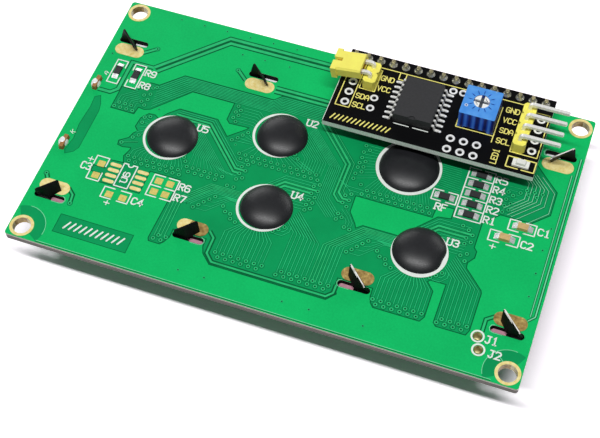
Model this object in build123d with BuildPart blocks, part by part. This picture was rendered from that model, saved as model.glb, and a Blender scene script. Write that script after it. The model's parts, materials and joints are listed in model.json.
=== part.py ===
from build123d import *
import math
import os

# Character LCD module with a serial adapter board soldered to its back.
# It lies on its display side. The origin is on the table under the middle of the bezel's face,
# +Z points out of the back of the display board, +X runs along the long side, and +Y points to
# the row of header pins. Sizes are millimetres.

os.makedirs("parts", exist_ok=True)

# Display board
board_length = 98.0
board_width = 60.0
board_thickness = 1.6
board_corner_radius = 0.6
mount_edge = 2.5
mount_hole_radius = 1.75
mount_land_width = 0.55
mount_land_sides = 20
land_thickness = 0.08

# Stamped steel bezel and its twisted tabs
bezel_end_margin = 0.5
bezel_width = 40.4
bezel_height = 9.5
bezel_wall = 0.5
bezel_corner_radius = 0.8
bezel_face_radius = 0.6
window_end_frame = 10.5
window_side_frame = 7.2
window_corner_radius = 0.6
window_bevel = 0.3
tab_end_margin = 4.1
tab_inner_x = 16.1
tab_width = 4.8
tab_rise = 3.0
tab_foot_gap = 0.3
tab_foot_lap = 0.1
tab_neck_width = 1.5
tab_corner = 0.5
tab_twist = 45.0
tab_lean = 22.0
tab_slot_end_gap = 0.7
tab_slot_side_gap = 0.04
tab_land_length = 6.1
tab_land_width = 2.8
tab_land_gap = 0.15
tab_land_corner = 0.82

# Liquid crystal cell
polariser_end_inset = 3.5
polariser_side_inset = 2.1
polariser_thickness = 0.2
glass_end_gap = 5.0
glass_side_gap = 0.3
glass_thickness = 1.1
glass_bevel = 0.15

# Silicone contact strips
contact_strip_inset = 2.0
contact_strip_width = 2.8
contact_strip_outer_gap = 0.3
contact_strip_inner_gap = 0.2

# Backlight
tray_end_gap = 0.2
tray_floor = 1.0
tray_end_wall = 5.6
tray_side_wall = 2.3
guide_bevel = 0.2
film_thickness = 0.2
fit_clearance = 0.1
lamp_strip_thickness = 0.8
lamp_strip_inset = 0.5
lamp_length = 3.0
lamp_height = 1.4
lamp_depth = 0.6
lamp_count = 6
lamp_end_inset = 1.5
terminal_width = 3.0
terminal_rise = 0.9
terminal_pitch = 15.4
terminal_slot_clearance = 0.1
terminal_solder_margin = 0.7
terminal_solder_height = 0.6

# Resin covers over the bonded chips
large_cover_radius = 5.9
small_cover_radius = 4.95
resin_height = 1.75
cover_1_from_right = 31.1
cover_1_y = 8.22
cover_2_x = -7.9
cover_2_y = 7.45
cover_3_from_right = 23.9
cover_3_y = -8.85
cover_4_x = -5.0
cover_4_y = -9.1
cover_5_from_left = 21.05
cover_5_y = 0.2

# Chip resistors and capacitors on the display board
chip_length = 2.0
chip_width = 1.25
resistor_height = 0.5
capacitor_height = 0.85
chip_cap_length = 0.3
chip_cap_wrap = 0.03
chip_solder_length = 0.95
chip_solder_foot = 0.08
resistor_stack_from_right = 17.6
resistor_stack_y = 1.45
resistor_stack_pitch = 2.33
resistor_stack_rows = 5
feedback_resistor_gap = 5.35
feedback_resistor_y = 3.9
lamp_resistor_from_left = 4.55
lamp_resistor_pitch = 3.9
lamp_resistor_y = 11.95
capacitor_1_from_right = 7.4
capacitor_1_y = 1.85
capacitor_2_from_right = 10.0
capacitor_2_y = -1.4

# Bare solder lands of parts that are not fitted
spare_chip_from_left = 16.48
spare_chip_y = -11.23
spare_chip_row_pitch = 5.65
spare_chip_pad_pitch = 1.28
spare_chip_pad_length = 2.3
spare_chip_pad_width = 0.75
spare_capacitor_pitch = 2.8
spare_capacitor_3_from_left = 10.85
spare_capacitor_3_y = -11.3
spare_capacitor_4_from_left = 16.5
spare_capacitor_4_y = -15.9
spare_resistors_from_left = 24.05
spare_resistors_y = -11.35
spare_resistor_pitch_x = 2.3
spare_resistor_pitch_y = 2.5
spare_land_length = 1.65
spare_land_width = 1.6
jumper_1_from_right = 9.3
jumper_1_from_front = 7.7
jumper_2_from_right = 8.5
jumper_2_from_front = 5.2
jumper_land_radius = 0.85
jumper_land_height = 0.3
jumper_land_sides = 12
jumper_land_taper = 40

# Header between the two boards
pin_pitch = 2.54
pin_size = 0.64
pin_hole_radius = 0.5
pin_hole_sides = 8
pin_passage = 0.74
pin_count = 16
pin_row_from_right = 10.0
pin_row_from_back = 2.5
pin_spacer_height = 2.54
pin_spacer_width = 2.5
pin_spacer_gap = 0.9
pin_spacer_corner = 0.45
pin_front_length = 2.0
pin_back_length = 1.3
pin_point = 0.15
joint_radius = 0.95
joint_height = 0.9
joint_neck = 0.55
joint_sides = 8

# Adapter board
adapter_thickness = 1.2
adapter_back_margin = 1.3
adapter_right_margin = 1.85
adapter_left_margin = 1.25
adapter_front_margin = 5.7
connector_rows = 4
connector_to_pins = 3.98
spare_column_left_inset = 2.67
spare_column_right_inset = 1.73
probe_hole_inset = 7.79
address_grid_offset = 1.25
address_grid_inset = 2.46
address_hole_columns = 3
address_hole_rows = 2
stray_hole_1_gap = 0.01
stray_hole_2_gap = 1.95
stray_hole_1_from_pins = 2.6
stray_hole_2_from_pins = 2.5

# Expander chip on the adapter
expander_inset = 16.45
expander_from_pins = 8.35
expander_end_margin = 0.3
expander_width = 7.7
expander_height = 2.25
expander_standoff = 0.1
expander_draft = 8.0
expander_notch_radius = 0.7
expander_notch_depth = 0.25
lead_pitch = 1.27
lead_rows = 8
lead_reach = 1.55
lead_width = 0.42
lead_thickness = 0.25
lead_foot = 0.9
lead_shoulder = 0.35

# Contrast trimmer
trimmer_offset = 0.665
trimmer_from_pins = 6.9
trimmer_side = 6.9
trimmer_wall = 0.65
trimmer_height = 4.3
trimmer_foot_height = 0.4
trimmer_foot_width = 1.2
trimmer_edge_radius = 0.25
rotor_off_centre = 0.3
rotor_head_radius = 1.5
rotor_flange_inset = 0.45
rotor_flange_height = 1.0
rotor_clearance = 0.05
rotor_sink = 0.1
rotor_slot_width = 0.62
rotor_slot_depth = 0.9
element_height = 0.9
ray_count = 12
ray_gap = 0.35
ray_length = 0.75
ray_width = 0.2
ray_depth = 0.12
trimmer_lead_pitch = 2.54
trimmer_lead_size = 0.5

# Angled headers on the adapter
insulator_height = 2.54
insulator_corner = 0.4
insulator_width = 2.54
pin_bend_radius = 0.7
pin_tail = 1.1
bus_pin_inset = 4.25
bus_pin_rise = 3.9
bus_pin_reach = 7.5
shunt_pin_inset = 6.03
shunt_from_pins = 5.1
shunt_pin_rise = 3.85
shunt_pin_end_gap = 0.2
shunt_droop = 9.0

# Shunt cap that joins the two pins
shunt_length = 6.0
shunt_side_wall = 0.41
shunt_roof_wall = 0.63
shunt_end_wall = 0.65
shunt_edge = 0.35
shunt_stand_off = 1.65
shunt_lip_length = 1.1
shunt_lip_drop = 0.2
shunt_lip_side = 0.2
shunt_window_width = 0.8
shunt_window_length = 1.8
clip_thickness = 0.2
clip_side_margin = 0.45
clip_clearance = 0.05

# Indicator lamp chip
indicator_inset_x = 2.9
indicator_inset_y = 2.1
indicator_length = 3.2
indicator_width = 1.6
indicator_base = 0.45
indicator_lens_length = 1.9
indicator_lens_width = 1.3
indicator_lens_height = 0.6
indicator_lens_draft = 12.0

# Parts on the adapter's hidden side
hidden_resistor_pitch = 3.2
hidden_left_inset = 8.35
hidden_right_inset = 7.15
hidden_row_from_pins = 3.1
hidden_low_from_pins = 7.1
hidden_capacitor_from_pins = 7.9
transistor_inset_x = 9.65
transistor_inset_y = 4.0
transistor_length = 2.9
transistor_width = 1.3
transistor_height = 1.0
transistor_lead_width = 0.45
transistor_lead_pitch = 0.95
transistor_lead_reach = 0.55
transistor_lead_thickness = 0.15

# Heights that follow from the sizes above
board_back = bezel_height + board_thickness
front_glass_z = bezel_wall + polariser_thickness
rear_glass_z = front_glass_z + glass_thickness
rear_polariser_z = rear_glass_z + glass_thickness
tray_z = rear_polariser_z + polariser_thickness
tray_inside = bezel_height - tray_floor - tray_z
guide_thickness = tray_inside - 2 * film_thickness
adapter_z = board_back + pin_spacer_height + pin_spacer_gap
adapter_top = adapter_z + adapter_thickness

# Display board, bezel and what the bezel holds, one from the other
right_end = board_length / 2
left_end = -right_end
back_edge = board_width / 2
front_edge = -back_edge
bezel_length = board_length - 2 * bezel_end_margin
bezel_inner_length = bezel_length - 2 * bezel_wall
bezel_inner_width = bezel_width - 2 * bezel_wall
window_length = bezel_length - 2 * window_end_frame
window_width = bezel_width - 2 * window_side_frame
tab_row_y = (bezel_width - bezel_wall) / 2
tab_outer_x = bezel_length / 2 - tab_end_margin
tab_x = (-tab_outer_x, -tab_inner_x, tab_inner_x, tab_outer_x)
tab_points = [(x, side * tab_row_y) for x in tab_x for side in (-1, 1)]
slot_turn = math.radians(tab_twist * board_thickness / (board_thickness + tab_foot_gap))
tab_turned_width = tab_neck_width * math.sin(slot_turn) + bezel_wall * math.cos(slot_turn)
tab_slot_width = tab_turned_width + 2 * tab_slot_side_gap
tab_slot_length = tab_width + 2 * tab_slot_end_gap
mount_pitch_x = board_length - 2 * mount_edge
mount_pitch_y = board_width - 2 * mount_edge
glass_length = bezel_inner_length - 2 * glass_end_gap
front_glass_width = bezel_inner_width - 2 * glass_side_gap
strip_room = contact_strip_outer_gap + contact_strip_width + contact_strip_inner_gap
rear_glass_width = bezel_inner_width - 2 * strip_room
polariser_length = glass_length - 2 * polariser_end_inset
polariser_width = rear_glass_width - 2 * polariser_side_inset
contact_strip_length = glass_length - 2 * contact_strip_inset
tray_length = bezel_inner_length - 2 * tray_end_gap
tray_width = rear_glass_width
guide_width = tray_width - 2 * (tray_side_wall + fit_clearance)
lamp_strip_length = guide_width
lamp_pitch = (guide_width - lamp_length - 2 * lamp_end_inset) / (lamp_count - 1)
lamp_strip_x = -bezel_inner_length / 2 + lamp_strip_inset + lamp_strip_thickness / 2
guide_start_x = lamp_strip_x + lamp_strip_thickness / 2 + lamp_depth + 2 * fit_clearance
guide_end_x = tray_length / 2 - tray_end_wall - fit_clearance
guide_length = guide_end_x - guide_start_x
guide_x = guide_start_x + guide_length / 2
terminal_points = [(lamp_strip_x, side * terminal_pitch / 2) for side in (-1, 1)]

# Parts on the display board, each from the end that it belongs to
resin_covers = (
    ("chip_cover_1", right_end - cover_1_from_right, cover_1_y, large_cover_radius),
    ("chip_cover_2", cover_2_x, cover_2_y, small_cover_radius),
    ("chip_cover_3", right_end - cover_3_from_right, cover_3_y, small_cover_radius),
    ("chip_cover_4", cover_4_x, cover_4_y, small_cover_radius),
    ("chip_cover_5", left_end + cover_5_from_left, cover_5_y, small_cover_radius),
)
resistor_stack_x = right_end - resistor_stack_from_right
feedback_resistor_x = resistor_stack_x - feedback_resistor_gap
lamp_resistor_x = [left_end + lamp_resistor_from_left + n * lamp_resistor_pitch for n in (0, 1)]
capacitor_places = (
    (right_end - capacitor_1_from_right, capacitor_1_y),
    (right_end - capacitor_2_from_right, capacitor_2_y),
)
spare_chip_place = (left_end + spare_chip_from_left, spare_chip_y)
spare_capacitor_3 = (left_end + spare_capacitor_3_from_left, spare_capacitor_3_y)
spare_capacitor_4 = (left_end + spare_capacitor_4_from_left, spare_capacitor_4_y)
spare_resistor_centre = (left_end + spare_resistors_from_left, spare_resistors_y)
jumper_land_places = (
    (right_end - jumper_1_from_right, front_edge + jumper_1_from_front),
    (right_end - jumper_2_from_right, front_edge + jumper_2_from_front),
)

# Header row and the adapter that hangs on it
pin_row_length = (pin_count - 1) * pin_pitch
pin_row_end_x = right_end - pin_row_from_right
pin_row_y = back_edge - pin_row_from_back
pin_row = (pin_row_end_x - pin_row_length / 2, pin_row_y)
connector_height = (connector_rows - 1) * pin_pitch
connector_centre_y = pin_row_y - connector_to_pins - connector_height / 2
adapter_length = adapter_left_margin + pin_row_length + adapter_right_margin
adapter_width = adapter_back_margin + connector_to_pins + connector_height + adapter_front_margin
adapter_right = pin_row_end_x + adapter_right_margin
adapter_left = adapter_right - adapter_length
adapter_front = pin_row_y + adapter_back_margin - adapter_width
adapter_x = adapter_right - adapter_length / 2
adapter_y = adapter_front + adapter_width / 2
spare_column_left_x = adapter_left + spare_column_left_inset
spare_column_right_x = adapter_right - spare_column_right_inset
probe_hole_place = (adapter_left + probe_hole_inset, connector_centre_y - pin_pitch)
bus_pin_x = adapter_right - bus_pin_inset
bus_pin_z = adapter_top + bus_pin_rise
shunt_pin_x = adapter_left + shunt_pin_inset
shunt_pin_y = pin_row_y - shunt_from_pins
shunt_pin_z = adapter_top + shunt_pin_rise
expander_x = adapter_left + expander_inset
expander_y = pin_row_y - expander_from_pins
expander_length = (lead_rows - 1) * lead_pitch + lead_width + 2 * expander_end_margin
lead_span = expander_width + 2 * lead_reach
expander_foot_x = expander_x + lead_span / 2
trimmer_x = (expander_foot_x + bus_pin_x - insulator_width / 2) / 2 - trimmer_offset
trimmer_y = pin_row_y - trimmer_from_pins
rotor_y = trimmer_y + rotor_off_centre
element_side = trimmer_side - 2 * (trimmer_wall + rotor_clearance)
rotor_flange_radius = element_side / 2 - rotor_flange_inset
address_grid_centre = (trimmer_x - address_grid_offset, adapter_front + address_grid_inset)
stray_holes = (
    (expander_foot_x + stray_hole_1_gap, pin_row_y - stray_hole_1_from_pins),
    (expander_foot_x + stray_hole_2_gap, pin_row_y - stray_hole_2_from_pins),
)
indicator_x = adapter_right - indicator_inset_x
indicator_y = adapter_front + indicator_inset_y
hidden_left_x = adapter_left + hidden_left_inset
hidden_right_x = adapter_right - hidden_right_inset
hidden_row_y = pin_row_y - hidden_row_from_pins
hidden_resistor_places = (
    (hidden_left_x, hidden_row_y),
    (hidden_left_x + hidden_resistor_pitch, hidden_row_y),
    (hidden_right_x - hidden_resistor_pitch, hidden_row_y),
    (hidden_right_x, hidden_row_y),
    (hidden_right_x, pin_row_y - hidden_low_from_pins),
)
hidden_capacitor_place = (hidden_left_x, pin_row_y - hidden_capacitor_from_pins)
transistor_x = adapter_right - transistor_inset_x
transistor_y = adapter_front + transistor_inset_y

# Shunt cap round its spring clip, and the pins that end inside it
clip_gap = pin_size + 2 * clip_clearance
clip_height = clip_gap + 2 * clip_thickness
clip_width = pin_pitch + pin_size + 2 * clip_side_margin
clip_depth = shunt_length - shunt_end_wall
shunt_width = clip_width + 2 * shunt_side_wall
shunt_height = clip_height + 2 * shunt_roof_wall
shunt_pin_reach = shunt_stand_off + clip_depth - clip_thickness - shunt_pin_end_gap


def chip_part(length, width, height, cap):
    """A chip resistor or capacitor: a ceramic block whose metal ends wrap a little proud of it."""
    with BuildPart() as chip:
        with BuildSketch():
            Rectangle(length - 2 * cap, width)
        extrude(amount=height)
        for end in (-1, 1):
            with BuildSketch():
                with Locations((end * (length - cap) / 2, 0)):
                    Rectangle(cap, width + 2 * chip_cap_wrap)
            extrude(amount=height + chip_cap_wrap)
    return chip.part


def chip_joint(height):
    """The two solder wedges that climb the metal ends of a chip part lying along X."""
    reach = chip_length / 2 + chip_solder_length
    with BuildPart() as joint:
        for end in (-1, 1):
            with BuildSketch(Plane.XZ):
                with BuildLine():
                    Polyline(
                        (end * chip_length / 2, 0),
                        (end * reach, 0),
                        (end * reach, chip_solder_foot),
                        (end * chip_length / 2, height * 0.8),
                        close=True,
                    )
                make_face()
            extrude(amount=chip_width / 2, both=True)
    return joint.part


def bezel_tab(twist, lean):
    """One tab: its neck turns inside the slot, and its flat blade stands turned and leaning above the board."""
    neck_height = board_thickness + tab_foot_gap
    with BuildPart() as tab:
        with BuildSketch():
            Rectangle(tab_neck_width, bezel_wall)
        with BuildSketch(Plane.XY.offset(neck_height).rotated((0, 0, twist))):
            Rectangle(tab_neck_width, bezel_wall)
        loft(ruled=True)
        with BuildPart(mode=Mode.PRIVATE) as blade:
            blade_height = tab_rise - tab_foot_gap + tab_foot_lap
            with BuildSketch(Plane.XZ) as outline:
                with Locations((0, blade_height / 2 - tab_foot_lap)):
                    Rectangle(tab_width, blade_height)
                chamfer(outline.vertices().group_by(Axis.Z)[-1], length=tab_corner)
            extrude(amount=bezel_wall / 2, both=True)
        add(Pos(0, 0, neck_height) * Rot(0, 0, twist) * Rot(lean, 0, 0) * blade.part)
    return tab.part


def solder_cone(height):
    """A soldered joint round a square pin: a faceted cone with the pin's hole through it."""
    lean = math.degrees(math.atan((joint_radius - joint_neck) / height))
    with BuildPart() as cone:
        with BuildSketch():
            RegularPolygon(joint_radius, joint_sides)
        extrude(amount=height, taper=lean)
        with BuildSketch():
            Rectangle(pin_size, pin_size)
        extrude(amount=height, mode=Mode.SUBTRACT)
    return cone.part


def insulator(count, width, height):
    """A moulded pin insulator along X: one cell for each pin, cut in at the corners between cells."""
    with BuildPart() as block:
        with BuildSketch() as cells:
            with GridLocations(pin_pitch, 0, count, 1):
                Rectangle(pin_pitch, width)
            with GridLocations(pin_pitch, width, count + 1, 2):
                RegularPolygon(pin_spacer_corner, 4, rotation=0, mode=Mode.SUBTRACT)
            with GridLocations(pin_pitch, 0, count, 1):
                Rectangle(pin_size, pin_size, mode=Mode.SUBTRACT)
        extrude(amount=height)
    return block.part


def angled_pin(rise, reach, droop):
    """A square pin that rises from below the adapter and bends over towards +X, drooping a little."""
    drop = math.radians(droop)
    with BuildPart() as pin:
        with BuildSketch(Plane.XZ):
            with BuildLine():
                FilletPolyline(
                    (0, -adapter_thickness - pin_tail),
                    (0, rise),
                    (reach * math.cos(drop), rise - reach * math.sin(drop)),
                    radius=pin_bend_radius,
                )
            trace(line_width=pin_size)
        extrude(amount=pin_size / 2, both=True)
        chamfer(pin.faces().sort_by(Axis.X)[-1].edges(), length=pin_point)
    return pin.part


def put_resin_cover(centre_x, centre_y, radius):
    """A dome of black resin that flowed out over a bonded chip."""
    with BuildPart() as cover:
        with BuildSketch(Plane.XZ):
            with BuildLine():
                Polyline(
                    (0, 0),
                    (radius, 0),
                    (radius * 0.87, resin_height * 0.5),
                    (radius * 0.5, resin_height * 0.88),
                    (0, resin_height),
                    close=True,
                )
            make_face()
        revolve(axis=Axis.Z)
    return Pos(centre_x, centre_y, board_back) * cover.part


# Display board with its holes and slots
with BuildPart() as display_board:
    with BuildSketch(Plane.XY.offset(bezel_height)):
        RectangleRounded(board_length, board_width, board_corner_radius)
        with GridLocations(mount_pitch_x, mount_pitch_y, 2, 2):
            Circle(mount_hole_radius, mode=Mode.SUBTRACT)
        with Locations(*tab_points):
            SlotOverall(tab_slot_length, tab_slot_width, mode=Mode.SUBTRACT)
        with Locations(pin_row):
            with GridLocations(pin_pitch, 0, pin_count, 1):
                Rectangle(pin_passage, pin_passage, mode=Mode.SUBTRACT)
        with Locations(*terminal_points):
            Rectangle(
                lamp_strip_thickness + 2 * terminal_slot_clearance,
                terminal_width + 2 * terminal_slot_clearance,
                mode=Mode.SUBTRACT,
            )
    extrude(amount=board_thickness)

# Gold lands on the back of the display board
with BuildPart() as board_lands:
    with BuildSketch(Plane.XY.offset(board_back)):
        with GridLocations(mount_pitch_x, mount_pitch_y, 2, 2):
            RegularPolygon(mount_hole_radius + mount_land_width, mount_land_sides)
            RegularPolygon(mount_hole_radius, mount_land_sides, major_radius=False, mode=Mode.SUBTRACT)
        tab_land_y = tab_row_y - tab_slot_width / 2 - tab_land_gap - tab_land_width / 2
        with BuildSketch(mode=Mode.PRIVATE) as tab_land:
            Rectangle(tab_land_length, tab_land_width)
            chamfer(tab_land.vertices(), length=tab_land_corner)
        with Locations(*[(x, side * tab_land_y) for x in tab_x for side in (-1, 1)]):
            add(tab_land.sketch)
        with Locations(spare_chip_place):
            with GridLocations(spare_chip_row_pitch, spare_chip_pad_pitch, 2, 4):
                Rectangle(spare_chip_pad_length, spare_chip_pad_width)
        with Locations(spare_capacitor_3):
            with GridLocations(0, spare_capacitor_pitch, 1, 2):
                Rectangle(spare_land_length, spare_land_width)
        with Locations(spare_capacitor_4):
            with GridLocations(spare_capacitor_pitch, 0, 2, 1):
                Rectangle(spare_land_length, spare_land_width)
        with Locations(spare_resistor_centre):
            with GridLocations(spare_resistor_pitch_x, spare_resistor_pitch_y, 2, 2):
                Rectangle(spare_land_length, spare_land_width)
    extrude(amount=land_thickness)

# Bezel: a deep stamped tray with the viewing window and eight twisted tabs
with BuildPart() as bezel:
    with BuildSketch():
        RectangleRounded(bezel_length, bezel_width, bezel_corner_radius)
    extrude(amount=bezel_height)
    fillet(bezel.faces().sort_by(Axis.Z)[0].edges(), radius=bezel_face_radius)
    with BuildSketch(Plane.XY.offset(bezel_wall)):
        RectangleRounded(bezel_inner_length, bezel_inner_width, bezel_corner_radius - bezel_wall)
    extrude(amount=bezel_height - bezel_wall, mode=Mode.SUBTRACT)
    with BuildSketch():
        RectangleRounded(window_length, window_width, window_corner_radius)
    extrude(amount=bezel_wall, mode=Mode.SUBTRACT)
    chamfer(
        bezel.faces().sort_by(Axis.Z)[0].inner_wires()[0].edges(),
        length=window_bevel,
    )
    for x, y in tab_points:
        turn = tab_twist * math.copysign(1, x) * math.copysign(1, y)
        add(Pos(x, y, bezel_height) * bezel_tab(turn, tab_lean * math.copysign(1, y)))

# Liquid crystal cell: two films and two panes
with BuildPart() as front_polariser:
    with BuildSketch(Plane.XY.offset(bezel_wall)):
        Rectangle(polariser_length, polariser_width)
    extrude(amount=polariser_thickness)

with BuildPart() as front_glass:
    with BuildSketch(Plane.XY.offset(front_glass_z)):
        Rectangle(glass_length, front_glass_width)
    extrude(amount=glass_thickness)
    chamfer(front_glass.edges().filter_by(Axis.Z), length=glass_bevel)

with BuildPart() as rear_glass:
    with BuildSketch(Plane.XY.offset(rear_glass_z)):
        Rectangle(glass_length, rear_glass_width)
    extrude(amount=glass_thickness)
    chamfer(rear_glass.edges().filter_by(Axis.Z), length=glass_bevel)

with BuildPart() as rear_polariser:
    with BuildSketch(Plane.XY.offset(rear_polariser_z)):
        Rectangle(polariser_length, polariser_width)
    extrude(amount=polariser_thickness)

# Silicone strips that carry the signals from the board down to the ledges of the front pane
contact_strip_y = bezel_inner_width / 2 - contact_strip_outer_gap - contact_strip_width / 2
contact_strips = []
for side in (-1, 1):
    with BuildPart() as contact_strip:
        with BuildSketch(Plane.XY.offset(rear_glass_z)):
            with Locations((0, side * contact_strip_y)):
                Rectangle(contact_strip_length, contact_strip_width)
        extrude(amount=bezel_height - rear_glass_z)
    contact_strips.append(contact_strip)

# Backlight tray: walls round the light guide, a floor against the board, a pocket for the lamps
pocket_start_x = lamp_strip_x - lamp_strip_thickness / 2 - fit_clearance
pocket_end_x = guide_end_x + fit_clearance
pocket_length = pocket_end_x - pocket_start_x
strip_slot_width = lamp_strip_thickness + 2 * fit_clearance
with BuildPart() as backlight_tray:
    with BuildSketch(Plane.XY.offset(tray_z)):
        Rectangle(tray_length, tray_width)
    extrude(amount=bezel_height - tray_z)
    with BuildSketch(Plane.XY.offset(tray_z)):
        with Locations((pocket_start_x + pocket_length / 2, 0)):
            Rectangle(pocket_length, guide_width + 2 * fit_clearance)
    extrude(amount=tray_inside, mode=Mode.SUBTRACT)
    with BuildSketch(Plane.XY.offset(tray_z)):
        with Locations((pocket_start_x + strip_slot_width / 2, 0)):
            Rectangle(strip_slot_width, lamp_strip_length + 2 * fit_clearance)
    extrude(amount=bezel_height - tray_z, mode=Mode.SUBTRACT)

with BuildPart() as diffuser_film:
    with BuildSketch(Plane.XY.offset(tray_z)):
        with Locations((guide_x, 0)):
            Rectangle(guide_length, guide_width)
    extrude(amount=film_thickness)

with BuildPart() as light_guide:
    with BuildSketch(Plane.XY.offset(tray_z + film_thickness)):
        with Locations((guide_x, 0)):
            Rectangle(guide_length, guide_width)
    extrude(amount=guide_thickness)
    chamfer(light_guide.edges().filter_by(Axis.Z), length=guide_bevel)

with BuildPart() as reflector_film:
    with BuildSketch(Plane.XY.offset(tray_z + film_thickness + guide_thickness)):
        with Locations((guide_x, 0)):
            Rectangle(guide_length, guide_width)
    extrude(amount=film_thickness)

# Lamp strip: a phenolic board on edge, with two terminal tabs through the display board
strip_height = bezel_height - tray_z
with BuildPart() as lamp_strip:
    with BuildSketch(Plane.YZ.offset(lamp_strip_x)) as strip_outline:
        with Locations((0, tray_z + strip_height / 2)):
            Rectangle(lamp_strip_length, strip_height)
        tab_total = board_thickness + terminal_rise
        with Locations(*[(y, bezel_height + tab_total / 2) for x, y in terminal_points]):
            Rectangle(terminal_width, tab_total)
    extrude(amount=lamp_strip_thickness / 2, both=True)

lamp_face_x = lamp_strip_x + lamp_strip_thickness / 2
guide_mid_z = tray_z + film_thickness + guide_thickness / 2
with BuildPart() as backlight_lamps:
    with BuildSketch(Plane.YZ.offset(lamp_face_x)):
        with Locations((0, guide_mid_z)):
            with GridLocations(lamp_pitch, 0, lamp_count, 1):
                Rectangle(lamp_length, lamp_height)
    extrude(amount=lamp_depth)

with BuildPart() as terminal_solder:
    with BuildSketch(Plane.XY.offset(board_back)):
        with Locations(*terminal_points):
            Rectangle(
                lamp_strip_thickness + 2 * terminal_solder_margin,
                terminal_width + 2 * terminal_solder_margin,
            )
            Rectangle(lamp_strip_thickness, terminal_width, mode=Mode.SUBTRACT)
    extrude(amount=terminal_solder_height, taper=30)

# Resin covers
chip_covers = {name: put_resin_cover(x, y, radius) for name, x, y, radius in resin_covers}

# Chip resistors: five in a stack, one beside them, two on end for the backlight
resistor = chip_part(chip_length, chip_width, resistor_height, chip_cap_length)
capacitor = chip_part(chip_length, chip_width, capacitor_height, chip_cap_length)
resistor_joint = chip_joint(resistor_height)
capacitor_joint = chip_joint(capacitor_height)
flat_chips = {
    f"resistor_{row + 1}": (resistor_stack_x, resistor_stack_y + row * resistor_stack_pitch)
    for row in range(resistor_stack_rows)
}
flat_chips["feedback_resistor"] = (feedback_resistor_x, feedback_resistor_y)
resistors = {name: Pos(x, y, board_back) * resistor for name, (x, y) in flat_chips.items()}
for number, x in enumerate(lamp_resistor_x):
    resistors[f"lamp_resistor_{number + 1}"] = (
        Pos(x, lamp_resistor_y, board_back) * Rot(0, 0, 90) * resistor
    )
capacitors = {
    f"capacitor_{number + 1}": Pos(x, y, board_back) * capacitor
    for number, (x, y) in enumerate(capacitor_places)
}

with BuildPart() as chip_solder:
    with Locations(*[(x, y, board_back) for x, y in flat_chips.values()]):
        add(resistor_joint)
    with Locations(*[(x, lamp_resistor_y, board_back) for x in lamp_resistor_x]):
        add(resistor_joint, rotation=(0, 0, 90))
    with Locations(*[(x, y, board_back) for x, y in capacitor_places]):
        add(capacitor_joint)

with BuildPart() as jumper_solder:
    with BuildSketch():
        RegularPolygon(jumper_land_radius, jumper_land_sides)
    extrude(amount=jumper_land_height, taper=jumper_land_taper)
jumper_domes = [Pos(x, y, board_back) * jumper_solder.part for x, y in jumper_land_places]

# Header between the boards
header_length = pin_back_length + adapter_top - bezel_height + pin_front_length
with BuildPart() as header_pins:
    with BuildSketch(Plane.XY.offset(bezel_height - pin_front_length)):
        with Locations(pin_row):
            with GridLocations(pin_pitch, 0, pin_count, 1):
                Rectangle(pin_size, pin_size)
    extrude(amount=header_length)
    chamfer(header_pins.faces().group_by(Axis.Z)[-1].edges(), length=pin_point)

header_spacer = Pos(*pin_row, board_back) * insulator(pin_count, pin_spacer_width, pin_spacer_height)

tall_joint = solder_cone(joint_height)
with BuildPart() as adapter_pin_solder:
    with Locations(Pos(*pin_row, adapter_top)):
        with GridLocations(pin_pitch, 0, pin_count, 1):
            add(tall_joint)

with BuildPart() as board_front_solder:
    with Locations(Pos(*pin_row, bezel_height) * Rot(180, 0, 0)):
        with GridLocations(pin_pitch, 0, pin_count, 1):
            add(tall_joint)

# Adapter board with every plated hole
with BuildPart() as adapter_board:
    with BuildSketch(Plane.XY.offset(adapter_z)):
        with Locations((adapter_x, adapter_y)):
            Rectangle(adapter_length, adapter_width)
        with Locations(pin_row):
            with GridLocations(pin_pitch, 0, pin_count, 1):
                Rectangle(pin_passage, pin_passage, mode=Mode.SUBTRACT)
        with Locations((bus_pin_x, connector_centre_y)):
            with GridLocations(0, pin_pitch, 1, connector_rows):
                Rectangle(pin_passage, pin_passage, mode=Mode.SUBTRACT)
        with Locations((shunt_pin_x, shunt_pin_y)):
            with GridLocations(0, pin_pitch, 1, 2):
                Rectangle(pin_passage, pin_passage, mode=Mode.SUBTRACT)
        for column_x in (spare_column_left_x, spare_column_right_x):
            with Locations((column_x, connector_centre_y)):
                with GridLocations(0, pin_pitch, 1, connector_rows):
                    RegularPolygon(pin_hole_radius, pin_hole_sides, mode=Mode.SUBTRACT)
        with Locations(probe_hole_place):
            with GridLocations(0, pin_pitch, 1, 2):
                RegularPolygon(pin_hole_radius, pin_hole_sides, mode=Mode.SUBTRACT)
        with Locations(address_grid_centre):
            with GridLocations(pin_pitch, pin_pitch, address_hole_columns, address_hole_rows):
                RegularPolygon(pin_hole_radius, pin_hole_sides, mode=Mode.SUBTRACT)
        with Locations(*stray_holes):
            RegularPolygon(pin_hole_radius, pin_hole_sides, mode=Mode.SUBTRACT)
    extrude(amount=adapter_thickness)

# Expander chip: drafted body with its end notch, and gull-wing leads
expander_base = adapter_top + expander_standoff
lead_exit = expander_standoff + expander_height / 2
with BuildPart() as expander_body:
    with BuildSketch(Plane.XY.offset(expander_base + expander_height / 2)):
        with Locations((expander_x, expander_y)):
            Rectangle(expander_width, expander_length)
    extrude(amount=expander_height / 2, taper=expander_draft)
    with BuildSketch(Plane.XY.offset(expander_base + expander_height / 2)):
        with Locations((expander_x, expander_y)):
            Rectangle(expander_width, expander_length)
    extrude(amount=-expander_height / 2, taper=expander_draft)
    with BuildSketch(Plane.XY.offset(expander_base + expander_height)):
        with Locations((expander_x, expander_y - expander_length / 2)):
            Circle(expander_notch_radius)
    extrude(amount=-expander_notch_depth, mode=Mode.SUBTRACT)

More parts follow.
